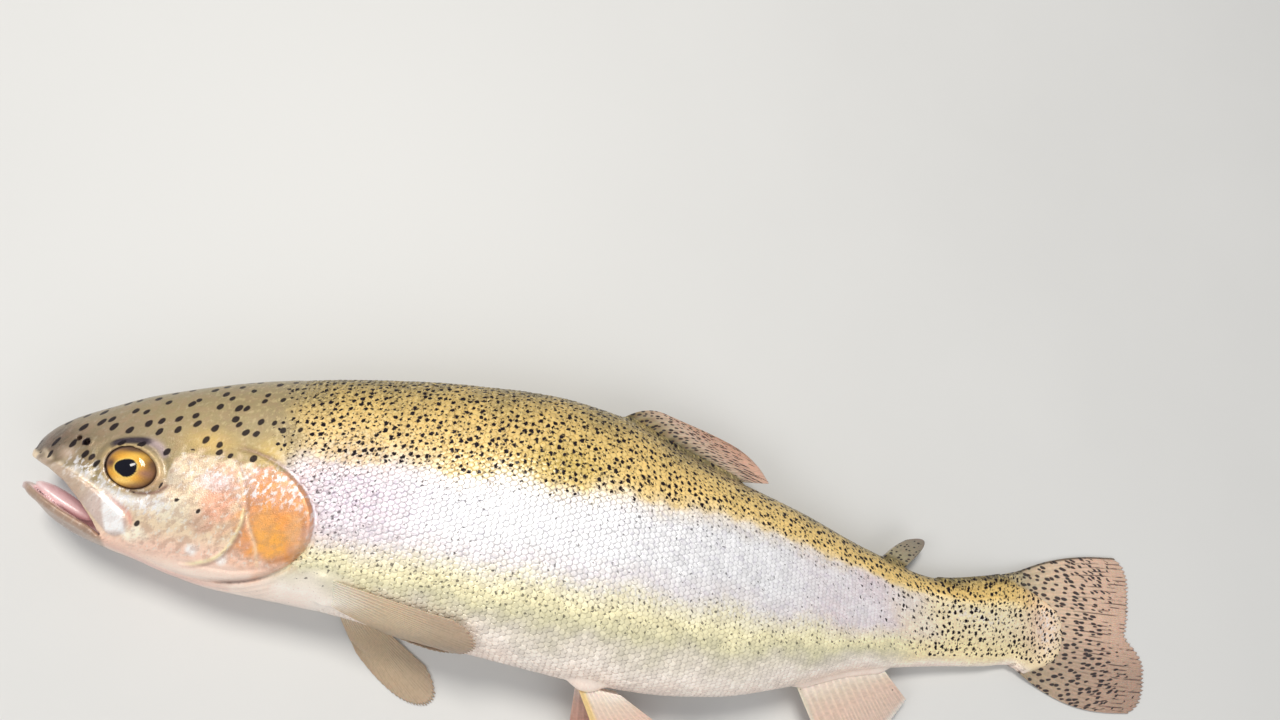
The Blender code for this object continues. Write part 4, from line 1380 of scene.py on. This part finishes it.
def plate_faces(rows, columns):
    """The quads of a thin plate: its top, its bottom and the rim between them."""
    count = rows * columns
    index = np.arange(count).reshape(rows, columns)
    upper = np.stack([index[:-1, :-1], index[1:, :-1], index[1:, 1:], index[:-1, 1:]], -1).reshape(-1, 4)
    loop = np.concatenate([index[:, 0], index[-1, 1:], index[-2::-1, -1], index[0, -2:0:-1]])
    after = np.roll(loop, -1)
    rim = np.stack([loop, loop + count, after + count, after], -1)
    return np.concatenate([upper, upper[:, ::-1] + count, rim])


def build_fin(
    name, place, thickness, rays, tones, material, steps=(16, 44), fray=0.02, flesh=0.0,
    thickest=0.7, skin_reach=0.2, leading=None, last_dim=0.0,
):
    """A fin as rays with a thin web between them, from place(u, v), its middle surface, and
    thickness(u, v). It ends in a finely frayed edge. The skin's own colour reaches some way up
    the root, leading holds the colour and the width of the first ray, and last_dim is how much
    the last rays darken."""
    us = np.linspace(0, 1, rays * steps[0] + 1)
    vs = np.linspace(0, 1, steps[1] + 1)
    ridge, double = fin_ridges(us, vs, rays)
    notch = 1 - fray * (1 - double) - fray * 0.6 * rng.uniform(0, 1, len(us))
    grid = np.array(
        [[place(u, v * (1 + (cut - 1) * v)) for v in vs] for u, cut in zip(us, notch, strict=True)], float
    )
    start = grid[:, 1] - grid[:, 0]
    grid[:, 0] -= start / (np.linalg.norm(start, axis=-1, keepdims=True) + TINY) * FIN_ROOT_DEPTH
    du, dv = np.gradient(grid, axis=0), np.gradient(grid, axis=1)
    normal = np.cross(du, dv)
    normal /= np.linalg.norm(normal, axis=-1, keepdims=True) + TINY
    whole = np.array([[thickness(u, v) for v in vs] for u in us])
    web = np.minimum(whole, FIN_WEB + flesh * (whole - FIN_WEB))
    half = (web + (np.maximum(np.clip(whole, 0.3, thickest), web) - web) * ridge) / 2
    half[[0, -1]] *= 0.55
    half[:, -1] *= 0.35
    out = normal * half[..., None]
    points = np.concatenate([(grid + out).reshape(-1, 3), (grid - out).reshape(-1, 3)])
    lengths = np.cumsum(np.linalg.norm(dv, axis=-1), axis=1)
    widths = np.cumsum(np.linalg.norm(du, axis=-1), axis=0)
    one_face = (us[:, None], vs, ridge, lengths, widths - widths[0], widths - widths[len(us) // 2])
    both_faces = (np.tile(np.broadcast_to(a, ridge.shape).ravel(), 2) for a in one_face)
    u, v, ridge, lengths, from_front, from_middle = both_faces
    tone = colour_ramp(tones, v) * (1 - last_dim * ramp(0.42, 0.8, u)[:, None])
    skin_tone = tone_of(points)
    tone = skin_tone + (tone - skin_tone) * ramp(0.0, skin_reach, v)[:, None]
    if leading:
        colour, width = leading
        tone = tinted(tone, (colour, 0.9 * fall(0.4, 1.0, from_front / width)))
    attributes = {
        "tone": tone,
        "edge": ramp(0.70, 0.92, v),
        "ray": np.stack([u * rays, lengths, ridge], 1),
        "outer": ramp(0.4, 0.72, v),
        "cloth": np.stack([from_middle, lengths, 0 * v], 1),
    }
    fin = mesh_object(name, placed(points, 0.03), plate_faces(len(us), len(vs)), attributes)
    dress(fin, material, name, name)


def sheet_between(root, tip, bulge):
    """A fin's middle surface, from its root line to its tip line, bent by the bulge."""

    def place(u, v):
        start, end = np.array(root(u), float), np.array(tip(u), float)
        return start + (end - start) * v + np.array(bulge(u, v))

    return place


def root_along(edge, front, rear, height):
    """A root line that follows the back or the belly at a height."""

    def root(u):
        x = front + (rear - front) * u
        return (x, float(edge(x)) + height, 0.0)

    return root


DORSAL_FRONT = 152.5
DORSAL_START = 37.0  # the height of the dorsal fin's front corner


def dorsal_outline(x):
    """The folded dorsal fin's upper edge: its first ray, then the tips of the others."""
    rising = (x - DORSAL_FRONT) / 11.5
    later = max(0.0, (x - 164) / 36.7)
    first = DORSAL_START + 3.6 * rising + 5.4 * rising * (1 - rising)
    return first if x < 164 else 40.6 - 7.6 * later - 6.9 * later**6


def dorsal_place():
    first_tip = 190.0

    def tip(u):
        x = first_tip + 10.7 * u
        return (x, dorsal_outline(x), 0.0)

    def bulge(u, v):
        straight = DORSAL_START + (dorsal_outline(first_tip) - DORSAL_START) * v
        over = dorsal_outline(DORSAL_FRONT + (first_tip - DORSAL_FRONT) * v) - straight
        return (0, (1 - u) ** 1.3 * over, 0.0)

    return sheet_between(root_along(back_at, DORSAL_FRONT, 191.5, 0.5), tip, bulge)


def adipose_place():
    return sheet_between(
        root_along(back_at, 243.0, 251.0, 0.4),
        lambda u: (*bow((251.0, 17.6), (257.4, 18.2), (255.2, 13.2), u), 0.0),
        lambda u, v: (-1.2 * v * (1 - v) * (1 - u), 1.6 * v * (1 - v) * (1 - u), 0.0),
    )


def anal_place():
    return sheet_between(
        root_along(belly_at, 217.0, 246.5, -0.5),
        lambda u: (*bow((236.0, -57.0), (246.0, -45.0), (256.5, -31.0), u), 0.0),
        lambda u, v: (-2.0 * v * (1 - v) * (1 - u), -1.4 * v * (1 - v), -2.5 * v * v),
    )


def tail_place():
    high, low = float(back_at(TAIL_BASE)), float(belly_at(TAIL_BASE))

    def tip(u):
        lower_lobe = LOWER_LOBE * ramp(0.4, 0.72, u)
        notch = 2.5 * hill(2 * u - 1.04, 0.14)
        corner = 5.5 * abs(2 * u - 1) ** 8
        return (TAIL_BASE + TAIL_FIN_REACH + lower_lobe - notch - corner, 24.4 - 49.6 * u, 0.0)

    def flare(u, v):
        side = 1 - 2 * u
        return (0, side * (2.2 if side > 0 else 4.6) * math.sin(math.pi * v), 0.0)

    return sheet_between(lambda u: (TAIL_BASE + 0.3, high + (low - high) * u, 0.0), tip, flare)


def tail_thickness(u, v):
    stalk = 2 * float(half_width_at(TAIL_BASE))
    flesh = stalk * math.sqrt(max(0.0, 1 - (2 * u - 1) ** 2)) * max(0.0, 1 - 4.2 * v) ** 1.2
    return max(flesh, 1.3 - 0.7 * v, FIN_EDGE)


def pelvic_place(side, lean, drop):
    def root(u):
        x = 151.0 + 12.5 * u
        return (x, float(belly_at(x)) - 1.2, side * (3.0 + 1.6 * u))

    def tip(u):
        x, y = bow((164.5 + lean, -62.0), (175.0 + lean * 0.8, -58.0), (180.0 + lean * 0.5, -48.5), u)
        return (x, y, side * 3.5 + drop * (1 - 0.3 * u) * (1 if side < 0 else -0.6))

    return sheet_between(root, tip, lambda u, v: (0, 0, side * 2.0 * v * (1 - v)))


def pectoral_plan(u, v, root, tips, sag):
    """The x and y of a place on a pectoral fin, and its share v, less at the fin's two corners."""
    v = v * (1 - CORNER_ROUNDING * abs(2 * u - 1) ** 4)
    x, y = root + (bow(*tips, u) - root) * v + np.array((0, -sag * v * (1 - v)))
    return x, y, v


def pectoral_lying(u, v):
    root = np.array((79.5 + 1.5 * u, -20.5 - 6.0 * u))
    x, y, v = pectoral_plan(u, v, root, ((123.5, -27.5), (117.5, -35.0), (99.0, -32.6)), 1.2)
    return x, y, body_height(x, y) + 1.1 + 2.3 * v * v - 2.0 * fall(0, 0.16, v)


def pectoral_spread(u, v):
    root = np.array((79.0 + 1.5 * u, -20.5 - 5.0 * u))
    x, y, v = pectoral_plan(u, v, root, ((117.0, -45.5), (109.0, -52.0), (92.0, -43.0)), 3.0)
    under = body_height(x, y) if y > belly_at(x) + 0.5 else 0.0
    floor = float(lift_at(x)) - 0.5
    return x, y, -min(floor, max(under + 1.2, floor * (0.72 + 0.28 * min(1.0, 1.6 * v))))


OLIVE_FIN = (0.42, 0.36, 0.22)
CREAM_FIN = (0.78, 0.68, 0.55)
RAY_GOLD = (0.82, 0.58, 0.24)
# The fins' colours by the share of the way from the root to the edge.
DORSAL_TONES = (
    (0, OLIVE_FIN), (0.3, (0.63, 0.47, 0.36)), (0.6, (0.68, 0.46, 0.35)), (0.85, (0.80, 0.52, 0.40)),
    (1, (0.72, 0.48, 0.38)),
)
ADIPOSE_TONES = ((0, OLIVE_FIN), (1, (0.26, 0.22, 0.18)))
TAIL_TONES = (
    (0, WEB_OLIVE), (0.2, (0.73, 0.56, 0.38)), (0.45, (0.78, 0.56, 0.41)), (0.8, (0.78, 0.53, 0.40)),
    (1, (0.70, 0.47, 0.36)),
)
PALE_TONES = (
    (0, CREAM_FIN), (0.35, (0.80, 0.58, 0.47)), (0.85, (0.78, 0.58, 0.48)), (1, (0.88, 0.82, 0.76)),
)
# The right pelvic fin's tones are painted shade, as that fin lies in shadow.
SHADED_TONES = ((0, (0.70, 0.50, 0.42)), (0.4, (0.58, 0.33, 0.26)), (1, (0.54, 0.33, 0.27)))
BREAST_TONES = ((0, (0.74, 0.62, 0.50)), (0.4, (0.66, 0.51, 0.35)), (1, (0.50, 0.38, 0.27)))


def build_fins():
    spotted = fin_material("spotted_fin", 1.5, 2.4, 0.27, 0.95, 0.15, 0.5)
    web = fin_material("tail_web", 1.75, 3.5, 0.28, 0.97, 0.12, 0.85)
    plain = fin_material("plain_fin", 3.0, 3.0, 0.12, 0.1, 0.14, 0.2, 0.2)
    fat = fin_material("fat_fin", 1.6, 1.6, 0.27, 0.8, 0.1, 0.0)
    build_fin("dorsal_fin", dorsal_place(), tapering(2.2), 12, DORSAL_TONES, spotted, fray=0.01)
    build_fin(
        "adipose_fin", adipose_place(), tapering(2.4, 0.9), 6, ADIPOSE_TONES, fat, (16, 24),
        fray=0.0, flesh=0.9,
    )
    build_fin(
        "anal_fin", anal_place(), tapering(2.0), 13, PALE_TONES, plain,
        thickest=0.36, leading=(CREAM_FIN, 1.6),
    )
    build_fin(
        "tail_fin", tail_place(), tail_thickness, 19, TAIL_TONES, web, (16, 64), skin_reach=0.1,
        leading=(EDGE_OLIVE, 0.9), last_dim=0.34,
    )
    build_fin(
        "pelvic_fin_left", pelvic_place(1, 0.0, 3.0), tapering(1.8), 10, PALE_TONES, plain,
        thickest=0.38, leading=(RAY_GOLD, 2.6),
    )
    build_fin(
        "pelvic_fin_right", pelvic_place(-1, -11.0, -14.5), tapering(1.8), 10, SHADED_TONES, plain,
        thickest=0.38,
    )
    for name, place in (("pectoral_fin_left", pectoral_lying), ("pectoral_fin_right", pectoral_spread)):
        build_fin(name, place, tapering(1.2), 13, BREAST_TONES, plain, thickest=0.5, skin_reach=0.35)


# ---------------------------------------------------------------- eyes

# Eye colours by distance from the pupil's middle, in pupil widths.
IRIS_STOPS = (
    (0.00, (0.006, 0.006, 0.012)),
    (0.96, (0.006, 0.006, 0.012)),
    (1.02, (0.95, 0.66, 0.16)),
    (1.14, (0.90, 0.50, 0.08)),
    (1.45, (0.78, 0.38, 0.05)),
    (1.90, (0.50, 0.25, 0.05)),
    (2.40, (0.30, 0.15, 0.05)),
)
PUPIL_RADIUS = 2.35
PUPIL_MIDDLE = (-0.45, -0.3)
# Darker and lighter marks on the iris: place from the eye's middle, reach, colour and strength.
IRIS_MARKS = (
    ((-5.0, 0.4), (1.7, 1.6), (0.10, 0.05, 0.045), 0.95),
    ((4.0, -1.0), (2.4, 1.1), (0.34, 0.17, 0.12), 0.85),
    # painted shade: the dark band across the iris's top, under the upper lid
    ((-0.6, 4.6), (4.2, 0.9), (0.10, 0.06, 0.05), 0.9),
    ((5.2, 1.6), (1.6, 1.4), (0.12, 0.07, 0.06), 0.7),
    ((1.0, 3.0), (2.6, 0.9), (0.95, 0.60, 0.12), 0.6),
    # painted shade: the dark patch at the iris's lower rear
    ((2.6, -4.4), (3.0, 0.9), (0.26, 0.13, 0.07), 0.85),
    ((-1.0, -3.5), (2.6, 0.8), (0.97, 0.66, 0.20), 0.8),
)


def build_eye(name, side, material):
    """An eyeball with a black, slightly pear-shaped pupil whose lens stands out of a golden iris."""
    spokes, rings = 96, 72
    turn = np.arange(spokes) * 2 * math.pi / spokes
    lean = np.linspace(0, 1, rings)[:, None] ** 1.1 * math.pi
    out = np.sin(lean) * np.ones(spokes)
    along, across = EYE_RADII[0] * out * np.cos(turn), EYE_RADII[1] * out * np.sin(turn)
    x = along * math.cos(EYE_LEAN) - across * math.sin(EYE_LEAN)
    y = along * math.sin(EYE_LEAN) + across * math.cos(EYE_LEAN)
    z = EYE_RADII[2] * np.cos(lean) * np.ones(spokes)
    off_x, off_y = x - PUPIL_MIDDLE[0], y - PUPIL_MIDDLE[1]
    pear = 1 + 0.42 * np.maximum(-np.cos(np.arctan2(off_y, off_x) + 0.05), 0) ** 5
    ratio = np.hypot(off_x, off_y) / (PUPIL_RADIUS * pear)
    lens = 0.22 * fall(0.2, 1.0, ratio) - 0.14 * hill(ratio - 1.35, 0.3)
    z += np.where(z > 0, lens, 0)
    tone = colour_ramp(IRIS_STOPS, ratio.ravel())
    iris = ramp(1.0, 1.1, ratio.ravel())
    for place, reach, colour, strength in IRIS_MARKS:
        tone = tinted(tone, (colour, strength * soft_patch(x.ravel(), y.ravel(), place, reach) * iris))
    # The ball darkens toward its edge: painted shade where it meets the socket.
    rim = ramp(5.7, 6.3, np.hypot(along, across * EYE_RADII[0] / EYE_RADII[1]).ravel())
    tone = tinted(tone, ((0.07, 0.04, 0.035), 0.9 * rim))
    index = np.arange(rings * spokes).reshape(rings, spokes)
    after = np.roll(index, -1, axis=1)
    faces = np.stack([index[:-1], index[1:], after[1:], after[:-1]], -1).reshape(-1, 4)
    disc = np.stack([x, y, z * 0.2], -1).reshape(-1, 3) * 0.35
    points = np.stack([EYE_CENTRE[0] + x, EYE_CENTRE[1] + y, side * (EYE_CENTRE[2] + z)], -1)
    points = placed(points.reshape(-1, 3), 0.1)
    ball = mesh_object(name + "_ball", points, faces[:, ::side], {"tone": tone, "disc": disc})
    dress(ball, material, name, name)


# ---------------------------------------------------------------- camera, floor and light

CAMERA_PLACE = (110.4, -16.9, 287.9)
CAMERA_RIGHT = (0.9686, 0.1483, 0.1994)
CAMERA_AHEAD = (0.1569, 0.2571, -0.9536)
FOCAL_SHARE = 0.72859375  # the focal length over the sensor's width


def build_camera():
    data = bpy.data.cameras.new("camera")
    data.sensor_width = 36
    data.lens = FOCAL_SHARE * data.sensor_width
    data.clip_start = 0.01
    camera = linked("camera", data)
    back = -Vector(CAMERA_AHEAD).normalized()
    up = back.cross(Vector(CAMERA_RIGHT).normalized()).normalized()
    turned = Matrix((up.cross(back), up, back)).transposed().to_4x4()
    camera.matrix_world = Matrix.Translation(np.array(CAMERA_PLACE) * MM + SHIFT) @ turned
    bpy.context.scene.camera = camera


def area_light(name, place, size, power, colour):
    """A round lamp that points at the middle of the fish; only the key is seen in reflections."""
    data = bpy.data.lights.new(name, "AREA")
    data.shape = "DISK"
    data.size = size
    data.energy = power
    data.color = colour
    lamp = linked(name, data)
    lamp.location = place
    lamp.rotation_euler = (Vector((0, 0, 0.02)) - Vector(place)).to_track_quat("-Z", "Y").to_euler()
    lamp.visible_glossy = name == "key"


def build_stage():
    bpy.ops.mesh.primitive_plane_add(size=12.0)
    floor = bpy.context.object
    floor.name = "floor"
    floor.data.materials.append(floor_material())
    area_light("key", (-0.25, 0.42, 1.03), 0.32, 7.8, (1.0, 0.96, 0.89))
    area_light("fill", (0.4, -0.6, 0.8), 0.9, 2.4, (1.0, 0.98, 0.96))
    area_light("front", (-0.6, -0.2, 0.6), 0.5, 1.6, (1.0, 0.98, 0.95))
    world = bpy.data.worlds.new("studio")
    world.use_nodes = True
    backdrop = world.node_tree.nodes["Background"]
    backdrop.inputs[0].default_value = (0.86, 0.90, 0.96, 1)
    backdrop.inputs[1].default_value = 0.33
    bpy.context.scene.world = world
    bpy.context.scene.view_settings.view_transform = "Standard"


skin = skin_material()
build_skin(skin)
build_scales(skin)
build_fins()
eyes = eye_material()
build_eye("eye_left", 1, eyes)
build_eye("eye_right", -1, eyes)
build_camera()
build_stage()
